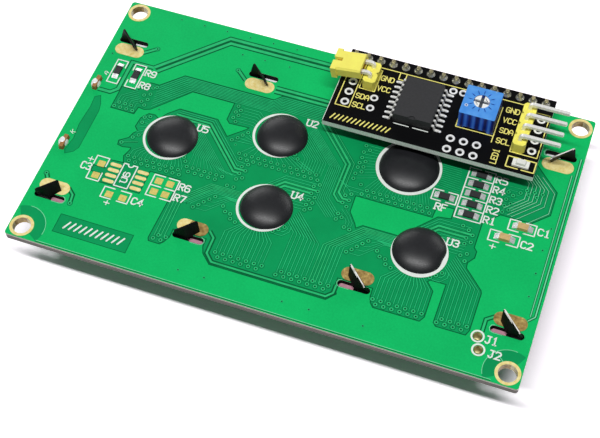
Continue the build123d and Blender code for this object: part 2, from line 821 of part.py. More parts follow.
with BuildPart() as gull_lead:
    root_x = expander_width / 2
    foot_x = lead_span / 2
    bend_x = foot_x - lead_foot
    with BuildSketch(Plane.XZ):
        with BuildLine():
            Polyline(
                (root_x, lead_exit),
                (root_x + lead_shoulder, lead_exit),
                (bend_x, lead_thickness / 2),
                (foot_x, lead_thickness / 2),
            )
        trace(line_width=lead_thickness)
    extrude(amount=lead_width / 2, both=True)

with BuildPart() as expander_leads:
    for quarter in (0, 180):
        with Locations(Pos(expander_x, expander_y, adapter_top) * Rot(0, 0, quarter)):
            with GridLocations(0, lead_pitch, 1, lead_rows):
                add(gull_lead.part)

# Contrast trimmer: housing with rays round its bore, rotor captured under the roof
trimmer_top = adapter_top + trimmer_height
element_z = adapter_top + trimmer_foot_height
rotor_z = element_z + element_height + rotor_clearance
flange_top = rotor_z + rotor_flange_height
cavity_top = flange_top + rotor_clearance
rotor_top = trimmer_top - rotor_sink
with BuildPart() as trimmer_housing:
    with BuildSketch(Plane.XY.offset(element_z)):
        with Locations((trimmer_x, trimmer_y)):
            Rectangle(trimmer_side, trimmer_side)
    extrude(amount=trimmer_top - element_z)
    fillet(trimmer_housing.edges().filter_by(Axis.Z), radius=trimmer_edge_radius)
    foot_pitch = trimmer_side - trimmer_foot_width
    with BuildSketch(Plane.XY.offset(adapter_top)):
        with Locations((trimmer_x, trimmer_y)):
            with GridLocations(foot_pitch, foot_pitch, 2, 2):
                Rectangle(trimmer_foot_width, trimmer_foot_width)
    extrude(amount=trimmer_foot_height)
    with BuildSketch(Plane.XY.offset(element_z)):
        with Locations((trimmer_x, trimmer_y)):
            Rectangle(element_side + 2 * rotor_clearance, element_side + 2 * rotor_clearance)
    extrude(amount=element_height, mode=Mode.SUBTRACT)
    with BuildSketch(Plane.XY.offset(element_z)):
        with Locations((trimmer_x, rotor_y)):
            Circle(rotor_flange_radius + rotor_clearance)
    extrude(amount=cavity_top - element_z, mode=Mode.SUBTRACT)
    with BuildSketch(Plane.XY.offset(element_z)):
        with Locations((trimmer_x, rotor_y)):
            Circle(rotor_head_radius + rotor_clearance)
    extrude(amount=trimmer_top - element_z, mode=Mode.SUBTRACT)
    with BuildSketch(Plane.XY.offset(trimmer_top)):
        with Locations((trimmer_x, rotor_y)):
            with PolarLocations(rotor_head_radius + ray_gap + ray_length / 2, ray_count):
                Rectangle(ray_length, ray_width)
    extrude(amount=-ray_depth, mode=Mode.SUBTRACT)

with BuildPart() as trimmer_rotor:
    with BuildSketch(Plane.XY.offset(rotor_z)):
        with Locations((trimmer_x, rotor_y)):
            Circle(rotor_flange_radius)
    extrude(amount=rotor_flange_height)
    with BuildSketch(Plane.XY.offset(flange_top)):
        with Locations((trimmer_x, rotor_y)):
            Circle(rotor_head_radius)
    extrude(amount=rotor_top - flange_top)
    with BuildSketch(Plane.XY.offset(rotor_top)):
        with Locations((trimmer_x, rotor_y)):
            Rectangle(2 * rotor_head_radius, rotor_slot_width)
            Rectangle(rotor_slot_width, 2 * rotor_head_radius)
    extrude(amount=-rotor_slot_depth, mode=Mode.SUBTRACT)

with BuildPart() as trimmer_element:
    with BuildSketch(Plane.XY.offset(element_z)):
        with Locations((trimmer_x, trimmer_y)):
            Rectangle(element_side, element_side)
    extrude(amount=element_height)

with BuildPart() as trimmer_leads:
    with BuildSketch(Plane.XY.offset(element_z)):
        with Locations((trimmer_x, trimmer_y)):
            with Locations(
                (-trimmer_lead_pitch, 0),
                (0, trimmer_lead_pitch),
                (trimmer_lead_pitch, 0),
            ):
                Rectangle(trimmer_lead_size, trimmer_lead_size)
    extrude(amount=-trimmer_foot_height)

# Bus header: insulator standing on the adapter and four pins bent over towards +X
bus_place = Pos(bus_pin_x, connector_centre_y, adapter_top)
bus_header = bus_place * Rot(0, 0, 90) * insulator(connector_rows, insulator_width, insulator_height)
bus_pin = angled_pin(bus_pin_rise, bus_pin_reach, 0)
with BuildPart() as bus_pins:
    with Locations(bus_place):
        with GridLocations(0, pin_pitch, 1, connector_rows):
            add(bus_pin)

# Shunt header: the same with two pins bent over towards -X
shunt_place = Pos(shunt_pin_x, shunt_pin_y, adapter_top)
shunt_header = shunt_place * Rot(0, 0, 90) * insulator(2, insulator_width, insulator_height)
shunt_pin = Rot(0, 0, 180) * angled_pin(shunt_pin_rise, shunt_pin_reach, shunt_droop)
with BuildPart() as shunt_pins:
    with Locations(shunt_place):
        with GridLocations(0, pin_pitch, 1, 2):
            add(shunt_pin)

# Shunt cap: drawn on the plane of its mouth, so that it grows along the pins
droop_cos = math.cos(math.radians(shunt_droop))
droop_sin = math.sin(math.radians(shunt_droop))
mouth = Plane(
    origin=(
        shunt_pin_x - shunt_stand_off * droop_cos,
        shunt_pin_y,
        shunt_pin_z - shunt_stand_off * droop_sin,
    ),
    x_dir=(0, -1, 0),
    z_dir=(-droop_cos, 0, -droop_sin),
)
with BuildPart() as shunt_cap:
    with BuildSketch(mouth):
        Rectangle(shunt_width, shunt_height)
    extrude(amount=shunt_length)
    long_edges = shunt_cap.edges().filter_by(lambda edge: edge.length > shunt_length * 0.99)
    chamfer(long_edges, length=shunt_edge)
    with BuildSketch(mouth.offset(shunt_length - shunt_lip_length)):
        with Locations((0, -shunt_lip_drop / 2)):
            Rectangle(shunt_width + 2 * shunt_lip_side, shunt_height + shunt_lip_drop)
    extrude(amount=shunt_lip_length)
    with BuildSketch(mouth):
        Rectangle(clip_width, clip_height)
    extrude(amount=clip_depth, mode=Mode.SUBTRACT)
    with BuildSketch(mouth.offset(shunt_length - shunt_window_length)):
        with Locations((0, shunt_height / 2)):
            Rectangle(shunt_window_width, shunt_height)
    extrude(amount=shunt_window_length, mode=Mode.SUBTRACT)

with BuildPart() as shunt_clip:
    with BuildSketch(mouth):
        Rectangle(clip_width, clip_height)
    extrude(amount=clip_depth)
    with BuildSketch(mouth):
        Rectangle(clip_width, clip_gap)
    extrude(amount=clip_depth - clip_thickness, mode=Mode.SUBTRACT)

# Indicator lamp chip: base with its ends and a drafted lens
with BuildPart() as indicator_lamp:
    with BuildSketch(Plane.XY.offset(adapter_top)):
        with Locations((indicator_x, indicator_y)):
            Rectangle(indicator_length, indicator_width)
    extrude(amount=indicator_base)
    with BuildSketch(Plane.XY.offset(adapter_top + indicator_base)):
        with Locations((indicator_x, indicator_y)):
            Rectangle(indicator_lens_length, indicator_lens_width)
    extrude(amount=indicator_lens_height, taper=indicator_lens_draft)

# Hidden side of the adapter: resistors, capacitor, transistor and the tails' solder
hidden_resistor_spots = [Pos(x, y, adapter_z) * Rot(180, 0, 90) for x, y in hidden_resistor_places]
with BuildPart() as hidden_resistors:
    with Locations(*hidden_resistor_spots):
        add(resistor)

hidden_capacitor = Pos(*hidden_capacitor_place, adapter_z) * Rot(180, 0, 0) * capacitor

with BuildPart() as backlight_transistor:
    with BuildSketch(Plane.XY.offset(adapter_z)):
        with Locations((transistor_x, transistor_y)):
            Rectangle(transistor_length, transistor_width)
    extrude(amount=-transistor_height)
    lead_spots = (
        (-transistor_lead_pitch, transistor_width / 2),
        (transistor_lead_pitch, transistor_width / 2),
        (0, -transistor_width / 2),
    )
    with BuildSketch(Plane.XY.offset(adapter_z)):
        for spot_x, spot_y in lead_spots:
            with Locations((transistor_x + spot_x, transistor_y + spot_y)):
                Rectangle(transistor_lead_width, 2 * transistor_lead_reach)
    extrude(amount=-transistor_lead_thickness)

tail_joint = solder_cone(pin_tail * 0.8)
with BuildPart() as tail_solder:
    with Locations(Pos(bus_pin_x, connector_centre_y, adapter_z) * Rot(180, 0, 0)):
        with GridLocations(0, pin_pitch, 1, connector_rows):
            add(tail_joint)
    with Locations(Pos(shunt_pin_x, shunt_pin_y, adapter_z) * Rot(180, 0, 0)):
        with GridLocations(0, pin_pitch, 1, 2):
            add(tail_joint)

# Write one file for each piece
built = {
    "display_board": display_board.part,
    "board_lands": board_lands.part,
    "bezel": bezel.part,
    "front_polariser": front_polariser.part,
    "front_glass": front_glass.part,
    "rear_glass": rear_glass.part,
    "rear_polariser": rear_polariser.part,
    "contact_strip_lower": contact_strips[0].part,
    "contact_strip_upper": contact_strips[1].part,
    "backlight_tray": backlight_tray.part,
    "diffuser_film": diffuser_film.part,
    "light_guide": light_guide.part,
    "reflector_film": reflector_film.part,
    "lamp_strip": lamp_strip.part,
    "backlight_lamps": backlight_lamps.part,
    "terminal_solder": terminal_solder.part,
    **chip_covers,
    **resistors,
    **capacitors,
    "chip_solder": chip_solder.part,
    "jumper_solder": Compound(children=jumper_domes),
    "header_pins": header_pins.part,
    "header_spacer": header_spacer,
    "adapter_pin_solder": adapter_pin_solder.part,
    "board_front_solder": board_front_solder.part,
    "adapter_board": adapter_board.part,
    "expander_body": expander_body.part,
    "expander_leads": expander_leads.part,
    "trimmer_housing": trimmer_housing.part,
    "trimmer_rotor": trimmer_rotor.part,
    "trimmer_element": trimmer_element.part,
    "trimmer_leads": trimmer_leads.part,
    "bus_header": bus_header,
    "bus_pins": bus_pins.part,
    "shunt_header": shunt_header,
    "shunt_pins": shunt_pins.part,
    "shunt_cap": shunt_cap.part,
    "shunt_clip": shunt_clip.part,
    "indicator_lamp": indicator_lamp.part,
    "hidden_resistors": hidden_resistors.part,
    "hidden_capacitor": hidden_capacitor,
    "backlight_transistor": backlight_transistor.part,
    "tail_solder": tail_solder.part,
}
for label, piece in built.items():
    piece.label = label
    export_step(piece, f"parts/{label}.step")
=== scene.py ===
import json
import math

import bmesh
import bpy
from mathutils import Matrix, Vector


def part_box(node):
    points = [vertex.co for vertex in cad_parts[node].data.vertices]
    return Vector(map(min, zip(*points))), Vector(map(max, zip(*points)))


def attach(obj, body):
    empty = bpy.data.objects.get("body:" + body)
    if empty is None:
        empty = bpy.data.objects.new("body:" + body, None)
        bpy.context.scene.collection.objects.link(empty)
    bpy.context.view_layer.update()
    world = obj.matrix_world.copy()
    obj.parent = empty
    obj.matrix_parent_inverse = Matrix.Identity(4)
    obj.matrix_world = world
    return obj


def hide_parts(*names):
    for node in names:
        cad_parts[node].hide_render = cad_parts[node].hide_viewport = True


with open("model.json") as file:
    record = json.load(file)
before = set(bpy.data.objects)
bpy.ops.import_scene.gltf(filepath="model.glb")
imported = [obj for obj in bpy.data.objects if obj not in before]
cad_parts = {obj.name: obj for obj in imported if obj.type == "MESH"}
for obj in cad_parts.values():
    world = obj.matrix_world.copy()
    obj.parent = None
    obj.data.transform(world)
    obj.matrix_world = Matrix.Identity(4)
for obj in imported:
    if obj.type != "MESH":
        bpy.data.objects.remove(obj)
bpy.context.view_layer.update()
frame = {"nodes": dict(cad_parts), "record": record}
nodes = frame["nodes"]

MM = 0.001


def edge_of(node, corner, axis):
    """One coordinate in millimetres of a node's lowest (0) or highest (1) corner."""
    return round(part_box(node)[corner][axis] / MM, 3)


def middle_of(node):
    return [round((edge_of(node, 0, axis) + edge_of(node, 1, axis)) / 2, 3) for axis in (0, 1)]


# Heights and places of the frame, in millimetres
BOARD_FRONT = edge_of("display_board", 0, 2)
BOARD_BACK = edge_of("display_board", 1, 2)
ADAPTER_TOP = edge_of("adapter_board", 1, 2)
HOUSING_TOP = edge_of("trimmer_housing", 1, 2)
ROTOR_TOP = edge_of("trimmer_rotor", 1, 2)
TRIMMER_X, TRIMMER_Y = middle_of("trimmer_rotor")
EXPANDER_X, EXPANDER_Y = middle_of("expander_body")
mounting = frame["record"]["mounts"][0]["dims"]
MOUNT_X = mounting["spacing_x_mm"] / 2
MOUNT_Y = mounting["spacing_y_mm"] / 2
MOUNT_HOLE = mounting["hole_r_mm"]
TAB_X_PLACES = (-44.4, -16.1, 16.1, 44.4)
TAB_Y = 19.95
JUMPERS = ((39.7, -22.3), (40.5, -24.8))
PIN_PITCH = 2.54
LEAD_PITCH = 1.27


# Materials

def srgb(red, green, blue):
    """Linear colour of an sRGB colour given in 0 to 255."""
    out = []
    for value in (red, green, blue):
        v = value / 255
        out.append(v / 12.92 if v <= 0.04045 else ((v + 0.055) / 1.055) ** 2.4)
    return (*out, 1.0)


def scaled(color, factor):
    return (*[min(1.0, c * factor) for c in color[:3]], 1.0)


class Nodes:
    """A material being built: its node tree, its shader and a few short cuts."""

    def __init__(self, name, roughness=0.5, metallic=0.0, specular=0.5):
        self.material = bpy.data.materials.new(name)
        self.material.use_nodes = True
        self.tree = self.material.node_tree
        self.shader = self.tree.nodes["Principled BSDF"]
        self.shader.inputs["Roughness"].default_value = roughness
        self.shader.inputs["Metallic"].default_value = metallic
        self.shader.inputs["Specular IOR Level"].default_value = specular
        self.place = self.add("ShaderNodeTexCoord").outputs["Object"]

    def add(self, kind, **values):
        node = self.tree.nodes.new(kind)
        for key, value in values.items():
            setattr(node, key, value)
        return node

    def link(self, output, target):
        self.tree.links.new(output, target)

    def feed(self, socket, value):
        """Links a socket to an output, or sets it to a value if there is one."""
        if hasattr(value, "links"):
            self.link(value, socket)
        elif value is not None:
            socket.default_value = value

    def noise(self, scale, detail=3.0, rough=0.55):
        node = self.add("ShaderNodeTexNoise")
        node.inputs["Scale"].default_value = scale
        node.inputs["Detail"].default_value = detail
        node.inputs["Roughness"].default_value = rough
        self.link(self.place, node.inputs["Vector"])
        return node.outputs["Fac"]

    def math(self, operation, a, b=None, c=None):
        node = self.add("ShaderNodeMath", operation=operation)
        for socket, value in zip(node.inputs, (a, b, c)):
            self.feed(socket, value)
        return node.outputs[0]

    def ramp(self, factor, *stops):
        node = self.add("ShaderNodeValToRGB")
        ramp = node.color_ramp
        while len(ramp.elements) < len(stops):
            ramp.elements.new(0.5)
        for element, (position, color) in zip(ramp.elements, stops):
            element.position = position
            element.color = color
        self.link(factor, node.inputs["Fac"])
        return node.outputs["Color"]

    def tones(self, noise, low, high):
        """Two colours spread over the usual range of a noise."""
        return self.ramp(noise, (0.3, low), (0.7, high))

    def mix(self, factor, a, b):
        node = self.add("ShaderNodeMix", data_type="RGBA")
        for k, value in ((0, factor), (6, a), (7, b)):
            self.feed(node.inputs[k], value)
        return node.outputs[2]

    def spread(self, factor, low, high):
        node = self.add("ShaderNodeMapRange")
        node.inputs["From Min"].default_value = 0.3
        node.inputs["From Max"].default_value = 0.7
        node.inputs["To Min"].default_value = low
        node.inputs["To Max"].default_value = high
        self.link(factor, node.inputs["Value"])
        return node.outputs["Result"]

    def bump(self, height, strength, distance=0.00005):
        node = self.add("ShaderNodeBump")
        node.inputs["Strength"].default_value = strength
        node.inputs["Distance"].default_value = distance
        self.link(height, node.inputs["Height"])
        self.link(node.outputs["Normal"], self.shader.inputs["Normal"])

    def axis(self, name, source=None):
        node = self.add("ShaderNodeSeparateXYZ")
        self.link(source or self.place, node.inputs[0])
        return node.outputs[name]

    def facing_up(self):
        """1 on faces that look along Z, 0 on walls."""
        normal = self.add("ShaderNodeNewGeometry").outputs["True Normal"]
        return self.math("GREATER_THAN", self.math("ABSOLUTE", self.axis("Z", normal)), 0.7)

    def color(self, value):
        self.link(value, self.shader.inputs["Base Color"])
        return self.material


def plain(name, color, roughness=0.5, metallic=0.0, specular=0.5, vary=0.12, scale=900.0,
          bump=0.15, bump_scale=5000.0, swing=0.06):
    """A surface with fine colour variation, uneven gloss and a light surface grain."""
    m = Nodes(name, roughness, metallic, specular)
    tone = m.noise(scale)
    colored = m.tones(tone, scaled(color, 1 - vary), scaled(color, 1 + vary))
    grain = m.noise(bump_scale, 2.0)
    m.link(m.spread(grain, roughness - swing, roughness + swing), m.shader.inputs["Roughness"])
    m.bump(grain, bump)
    return m.color(colored)


# Height of the pale band at the top of the board's edges; the edge below it carries painted shade
PALE_EDGE = 0.48
SHEARED_HEIGHT = 2.3
BROWN_LANDS_Y = -19.5
BROWN_LANDS_REACH = 5.0
BROWN_LANDS_X = -14.8
RIB_SHADE_WAVES = 4200.0

# For each axis the pitch and number of the character cells, the size of one and its number of dots
CELL_GRID = (("X", 0.00355, 20, 0.00295, 5), ("Y", 0.00535, 4, 0.00475, 8))


def board_material(name, face, edge, roughness, specular, painted_shade_below=None):
    """Solder mask on the faces, bare fibreglass on the cut edges, painted shade on edges below a given
    height.
    """
    m = Nodes(name, roughness, 0.0, specular)
    mottle = m.noise(90.0, 4.0)
    fine = m.noise(2600.0, 2.0)
    top = m.mix(0.35, m.tones(mottle, scaled(face, 0.9), scaled(face, 1.1)),
                m.tones(fine, scaled(face, 0.85), scaled(face, 1.15)))
    side = m.tones(m.noise(4200.0, 3.0), scaled(edge, 0.75), scaled(edge, 1.2))
    # Painted shade: the edges are darkened below the given height
    if painted_shade_below is not None:
        side = m.mix(m.math("LESS_THAN", m.axis("Z"), painted_shade_below), side, scaled(edge, 0.3))
    m.bump(fine, 0.12, 0.00003)
    return m.color(m.mix(m.facing_up(), side, top))


# Name and colour, roughness, metallic and specular values, the strength and scale of the variation and of the
# grain, and how far the roughness swings
PLAIN_ROWS = {
    "bare": ("green_mask_over_laminate", (7, 154, 88), 0.42, 0, 0.1, 0.08, 160),
    # The next two rows are painted shade along the edges of copper features
    "dark": ("green_mask_step", (2, 100, 56), 0.45, 0, 0.08, 0.12, 400),
    "fine_step": ("green_mask_fine_step", (4, 122, 70), 0.45, 0, 0.08, 0.1, 400),
    "track": ("green_mask_over_track", (44, 190, 116), 0.4, 0, 0.12, 0.14, 500),
    "fine_track": ("green_mask_over_fine_track", (40, 192, 120), 0.4, 0, 0.12, 0.14, 500),
    "ridge": ("raised_track_glint", (124, 222, 170), 0.35, 0, 0.2, 0.12, 500),
    # Painted shade in via holes
    "via_hole": ("via_hole", (4, 64, 40), 0.6, 0, 0.1, 0.2, 700),
    "legend": ("white_legend_ink", (238, 244, 238), 0.55, 0, 0.2, 0.05, 1200),
    "cream": ("cream_legend_ink", (250, 240, 132), 0.55, 0, 0.2, 0.06, 1200),
    "pin_end": ("worn_pin_ends", (184, 176, 136), 0.32, 0.5, 0.5, 0.3, 1500, 0.3, 2500),
    "solder": ("tin_solder", (240, 242, 242), 0.26, 0.45, 0.5, 0.14, 1300, 0.4, 1800, 0.1),
    "dull_solder": ("dull_solder", (128, 118, 66), 0.34, 0.3, 0.5, 0.35, 1300, 0.4, 1800, 0.1),
    "joint": ("uneven_joint", (206, 206, 192), 0.24, 0.7, 0.5, 0.45, 1100, 0.6, 1400, 0.08),
    "bright_solder": ("bright_solder", (248, 250, 250), 0.34, 0.1, 0.5, 0.06, 1300, 0.3, 2200, 0.08),
    "tinned_lead": ("tinned_metal", (248, 248, 244), 0.26, 0.2, 0.5, 0.05, 700, 0.03, 1200, 0.05),
    "black_resin": ("black_resin", (30, 31, 34), 0.4, 0, 0.5, 0.16, 700, 0.18, 5200, 0.05),
    "chip_body": ("moulded_chip", (50, 50, 52), 0.55, 0, 0.35, 0.1, 2500, 0.3, 9000, 0.05),
    "yellow_plastic": ("yellow_plastic", (255, 243, 108), 0.38, 0, 0.35, 0.06, 500, 0.12, 4000, 0.06),
    "white_plastic": ("white_plastic", (244, 246, 244), 0.45, 0, 0.4, 0.05, 900),
    "grey": ("shaded_groove", (74, 80, 88), 0.6, 0, 0.2, 0.1, 900),
    "blue_ink": ("blue_shadow", (24, 74, 168), 0.6, 0, 0.2, 0.1, 900),
    "dark_ink": ("dark_ink", (26, 32, 44), 0.6, 0, 0.2, 0.1, 900),
    "pink_silicone": ("pink_silicone", (214, 138, 146), 0.6, 0, 0.25, 0.08, 700, 0.2, 3000),
    "phenolic_strip": ("brown_phenolic", (166, 118, 70), 0.5, 0, 0.3, 0.18, 1200, 0.3, 4000),
    "black_insulator": ("black_plastic", (26, 26, 27), 0.45, 0, 0.4, 0.12, 900),
    "white_tray": ("white_tray", (236, 236, 230), 0.5, 0, 0.3, 0.04, 300),
    "clear_guide": ("clear_guide", (222, 230, 230), 0.12, 0, 0.5, 0.03, 200, 0.02),
    "rear_film": ("grey_film", (120, 122, 130), 0.3, 0, 0.4, 0.05, 200),
    "beige_chip": ("beige_ceramic", (206, 176, 118), 0.5, 0, 0.35, 0.1, 1500),
    "spring_brass": ("spring_brass", (214, 176, 96), 0.3, 0.9, 0.5, 0.1, 900),
    "tan": ("bare_land", (230, 212, 116), 0.4, 0.15, 0.5, 0.14, 1500, 0.2, 3000),
    "shade": ("black_recess", (14, 15, 16), 0.7, 0, 0.1, 0.2, 900),
    "slot_pink": ("pink_edge_in_slot", (196, 142, 158), 0.6, 0, 0.2, 0.1, 1400),
    "slot_white": ("pale_edge_in_slot", (246, 248, 248), 0.6, 0, 0.2, 0.04, 1400),
    "lens": ("pale_lamp", (240, 242, 236), 0.25, 0, 0.5, 0.04, 700),
}
mats = {key: plain(name, srgb(*color), *rest) for key, (name, color, *rest) in PLAIN_ROWS.items()}


def bezel_material():
    """Satin black paint, with bare steel painted bright as a highlight on the sheared ends of the right hand
    tabs only.
    """
    m = Nodes("bezel_paint", 0.5, 0.0, 0.16)
    high = m.math("GREATER_THAN", m.axis("Z"), (BOARD_BACK + SHEARED_HEIGHT) * MM)
    # Only the right hand tabs get the painted highlight on their sheared ends
    right = m.math("GREATER_THAN", m.axis("X"), 0.0)
    cut = m.math("MULTIPLY", m.math("MULTIPLY", high, m.facing_up()), right)
    paint = m.tones(m.noise(700.0), srgb(8, 8, 9), srgb(18, 17, 17))
    steel = m.ramp(m.noise(1500.0), (0.3, srgb(190, 186, 178)), (0.5, srgb(244, 242, 238)))
    m.bump(m.noise(5200.0, 2.0), 0.25)
    return m.color(m.mix(cut, paint, steel))


def gold_material():
    """Thin gold over nickel, pale cream brightened as a painted reflection, and brown over the front lands
    right of a line.
    """
    m = Nodes("gold_flash", 0.4, 0.08, 0.4)
    fine = m.noise(1500.0, 4.0)
    # Pale cream brightened as a painted reflection
    pale = m.tones(fine, srgb(238, 212, 124), srgb(255, 243, 178))
    brown = m.ramp(fine, (0.3, srgb(128, 98, 48)), (0.62, srgb(186, 156, 92)), (0.75, srgb(222, 212, 120)))
    away = m.math("ABSOLUTE", m.math("SUBTRACT", m.axis("Y"), BROWN_LANDS_Y * MM))
    front = m.math("LESS_THAN", away, BROWN_LANDS_REACH * MM)
    uneven = m.math("ADD", m.axis("X"), m.math("MULTIPLY", m.noise(300.0), 0.004))
    right = m.math("GREATER_THAN", uneven, BROWN_LANDS_X * MM)
    m.bump(fine, 0.3)
    return m.color(m.mix(m.math("MULTIPLY", front, right), pale, brown))


def trimmer_material():
    """Blue moulding, painted lighter on top and darker on its deep, unevenly ribbed walls, with stripes of
    painted shade and highlight for the ribbing.
    """
    m = Nodes("trimmer_blue", 0.38, 0.0, 0.45)
    top = m.tones(m.noise(500.0), srgb(66, 142, 228), srgb(94, 166, 242))
    flat = m.add("ShaderNodeVectorMath", operation="MULTIPLY")
    flat.inputs[1].default_value = (1, 1, 0)
    m.link(m.place, flat.inputs[0])
    m.place = flat.outputs[0]
    rib_shading = m.math("SINE", m.math("MULTIPLY", m.axis("X"), RIB_SHADE_WAVES))
    rib_shading = m.math("MULTIPLY_ADD", rib_shading, 0.28, m.noise(700.0, 3.0))
    # Stripes of painted shade and painted highlight stand for the ribbing
    wall = m.ramp(rib_shading, (0.3, srgb(6, 26, 112)), (0.55, srgb(26, 84, 214)), (0.8, srgb(70, 140, 255)))
    return m.color(m.mix(m.facing_up(), wall, top))


def display_material():
    """Blue film over the cell, with the faint grid of character cells that shows unlit."""
    m = Nodes("display_film", 0.16, 0.0, 0.5)
    masks = []
    for axis, pitch, count, cell, dots in CELL_GRID:
        along = m.math("ADD", m.axis(axis), pitch * count / 2)
        inside = m.math("LESS_THAN", m.math("ABSOLUTE", m.axis(axis)), pitch * count / 2)
        here = m.math("MULTIPLY", m.math("FRACT", m.math("DIVIDE", along, pitch)), pitch)
        in_cell = m.math("LESS_THAN", here, cell)
        dot = m.math("FRACT", m.math("DIVIDE", here, cell / dots))
        in_dot = m.math("LESS_THAN", dot, 0.92)
        masks.append(m.math("MULTIPLY", inside, m.math("MULTIPLY", in_cell, in_dot)))
    grid = m.math("MULTIPLY", masks[0], masks[1])
    film = m.tones(m.noise(60.0), srgb(22, 46, 168), srgb(30, 58, 190))
    cells = m.tones(m.noise(60.0), srgb(18, 36, 140), srgb(24, 46, 160))
    m.shader.inputs["Coat Weight"].default_value = 0.4
    return m.color(m.mix(grid, film, cells))


def glass_material():
    """Clear pane, pale green at its edges."""
    m = Nodes("cell_glass", 0.04, 0.0, 0.5)
    m.shader.inputs["Transmission Weight"].default_value = 0.85
    return m.color(m.tones(m.noise(120.0), srgb(214, 232, 224), srgb(228, 240, 234)))


def barrel_material():
    """Plated wall of a mounting hole: pale, and brown on the part that faces the front right."""
    m = Nodes("hole_barrel", 0.36, 0.2, 0.5)
    normal = m.add("ShaderNodeNewGeometry").outputs["True Normal"]
    turned = m.math("SUBTRACT", m.math("MULTIPLY", m.axis("X", normal), 0.6),
                    m.math("MULTIPLY", m.axis("Y", normal), 0.8))
    fine = m.noise(1500.0)
    pale = m.tones(fine, srgb(196, 184, 140), srgb(236, 228, 190))
    brown = m.tones(fine, srgb(128, 98, 52), srgb(206, 178, 110))
    return m.color(m.mix(m.math("GREATER_THAN", turned, 0.72), pale, brown))


# Both boards' cut edges are pale fibreglass, raised towards white as a painted highlight
mats["green_board"] = board_material("green_mask_over_copper", srgb(16, 190, 102), srgb(236, 228, 218),
                                     0.4, 0.1, (BOARD_BACK - PALE_EDGE) * MM)
mats["black_board"] = board_material("black_mask", srgb(10, 10, 12), srgb(255, 255, 252), 0.36, 0.14)
mats["barrel"] = barrel_material()
mats["bezel_paint"] = bezel_material()
mats["gold_land"] = gold_material()
mats["blue_plastic"] = trimmer_material()
mats["display_film"] = display_material()
mats["cell_glass"] = glass_material()

# Slots that share the material of another one
SHARED = {
    "white_film": "white_tray", "lamp_white": "lens", "indicator_white": "lens", "black_chip": "chip_body",
    "gold_pin": "tinned_lead", "white_rotor": "white_plastic", "ceramic_element": "white_plastic",
}
for part in frame["record"]["subparts"]:
    slot = part["material_slot"]
    mesh = nodes[part["node"]].data
    mesh.materials.clear()
    mesh.materials.append(mats[SHARED.get(slot, slot)])
nodes["header_pins"].data.materials[0] = mats["pin_end"]


# Flat work in millimetres: bands, rings and strokes gathered into one mesh for each layer
HAIR = 0.000012
INK = 0.24
FINE_INK = 0.2


def piece(name, points, faces, material):
    """An object in the scene from points in millimetres."""
    mesh = bpy.data.meshes.new(name)
    mesh.from_pydata([Vector(p) * MM for p in points], [], faces)
    mesh.materials.append(material)
    obj = bpy.data.objects.new(name, mesh)
    bpy.context.scene.collection.objects.link(obj)
    return obj


def offset_line(points, distance):
    """The line moved sideways, with mitred corners."""
    out = []
    for i, p in enumerate(points):
        normals = []
        for a, b in ((i - 1, i), (i, i + 1)):
            if a >= 0 and b < len(points):
                way = (Vector(points[b]) - Vector(points[a])).normalized()
                normals.append(Vector((-way.y, way.x)))
        mitre = (normals[0] + normals[-1]).normalized()
        out.append(Vector(p) + mitre * (distance / max(0.35, mitre.dot(normals[0]))))
    return out


class Layer:
    """Thin coloured faces at one height, drawn as one mesh on one body."""

    def __init__(self, name, height, material, body="module", slot=None):
        self.name, self.height, self.material, self.body, self.slot = name, height, material, body, slot
        self.points, self.faces, self.rise = [], [], 0.0

    def face(self, outline):
        start = len(self.points)
        self.points += [(p[0], p[1], self.height + self.rise) for p in outline]
        self.faces.append(list(range(start, start + len(outline))))

    def lift(self):
        """Each shape lies a hair above the last one, so that no two share a plane."""
        self.rise += HAIR

    def band(self, points, width, center=0.0):
        self.lift()
        left = offset_line(points, center + width / 2)
        right = offset_line(points, center - width / 2)
        for i in range(len(points) - 1):
            self.face((right[i], right[i + 1], left[i + 1], left[i]))

    def stroke(self, points, width=FINE_INK):
        """A band with rounded ends and corners."""
        self.band(points, width)
        for p in points:
            self.disc(p, width / 2, 8)

    def disc(self, center, radius, sides=16):
        self.lift()
        self.face([(center[0] + radius * math.cos(2 * math.pi * (k + 0.5) / sides),
                    center[1] + radius * math.sin(2 * math.pi * (k + 0.5) / sides)) for k in range(sides)])

    def ring(self, center, inner, outer, sides=24, start=0.0, turn=360.0):
        self.lift()
        steps = max(2, round(sides * turn / 360))
        for k in range(steps):
            a, b = (math.radians(start + turn * j / steps) for j in (k, k + 1))
            self.face([(center[0] + r * math.cos(t), center[1] + r * math.sin(t))
                       for r, t in ((inner, a), (outer, a), (outer, b), (inner, b))])

    def frame_box(self, x0, y0, x1, y1, width=FINE_INK, gaps=()):
        """A rectangle's outline. gaps names the sides broken in their middle: n, s, e or w."""
        sides = {"s": ((x0, y0), (x1, y0)), "e": ((x1, y0), (x1, y1)),
                 "n": ((x1, y1), (x0, y1)), "w": ((x0, y1), (x0, y0))}
        broken = dict(gaps)
        for name, (a, b) in sides.items():
            a, b = Vector(a), Vector(b)
            if name in broken:
                half = broken[name] / 2 / (b - a).length
                self.stroke((a, a.lerp(b, 0.5 - half)), width)
                self.stroke((a.lerp(b, 0.5 + half), b), width)
            else:
                self.stroke((a, b), width)

    def make(self):
        obj = piece(self.name, self.points, self.faces, self.material)
        for polygon in obj.data.polygons:
            if polygon.normal.z < 0:
                polygon.flip()
        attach(obj, self.body)


def board_layer(name, rise, material, slot="green_board"):
    return Layer("board_" + name, BOARD_BACK + rise, mats[material], slot=slot)


bare = board_layer("etched_fields", 0.004, "bare")
patches = board_layer("copper_islands", 0.008, "green_board")
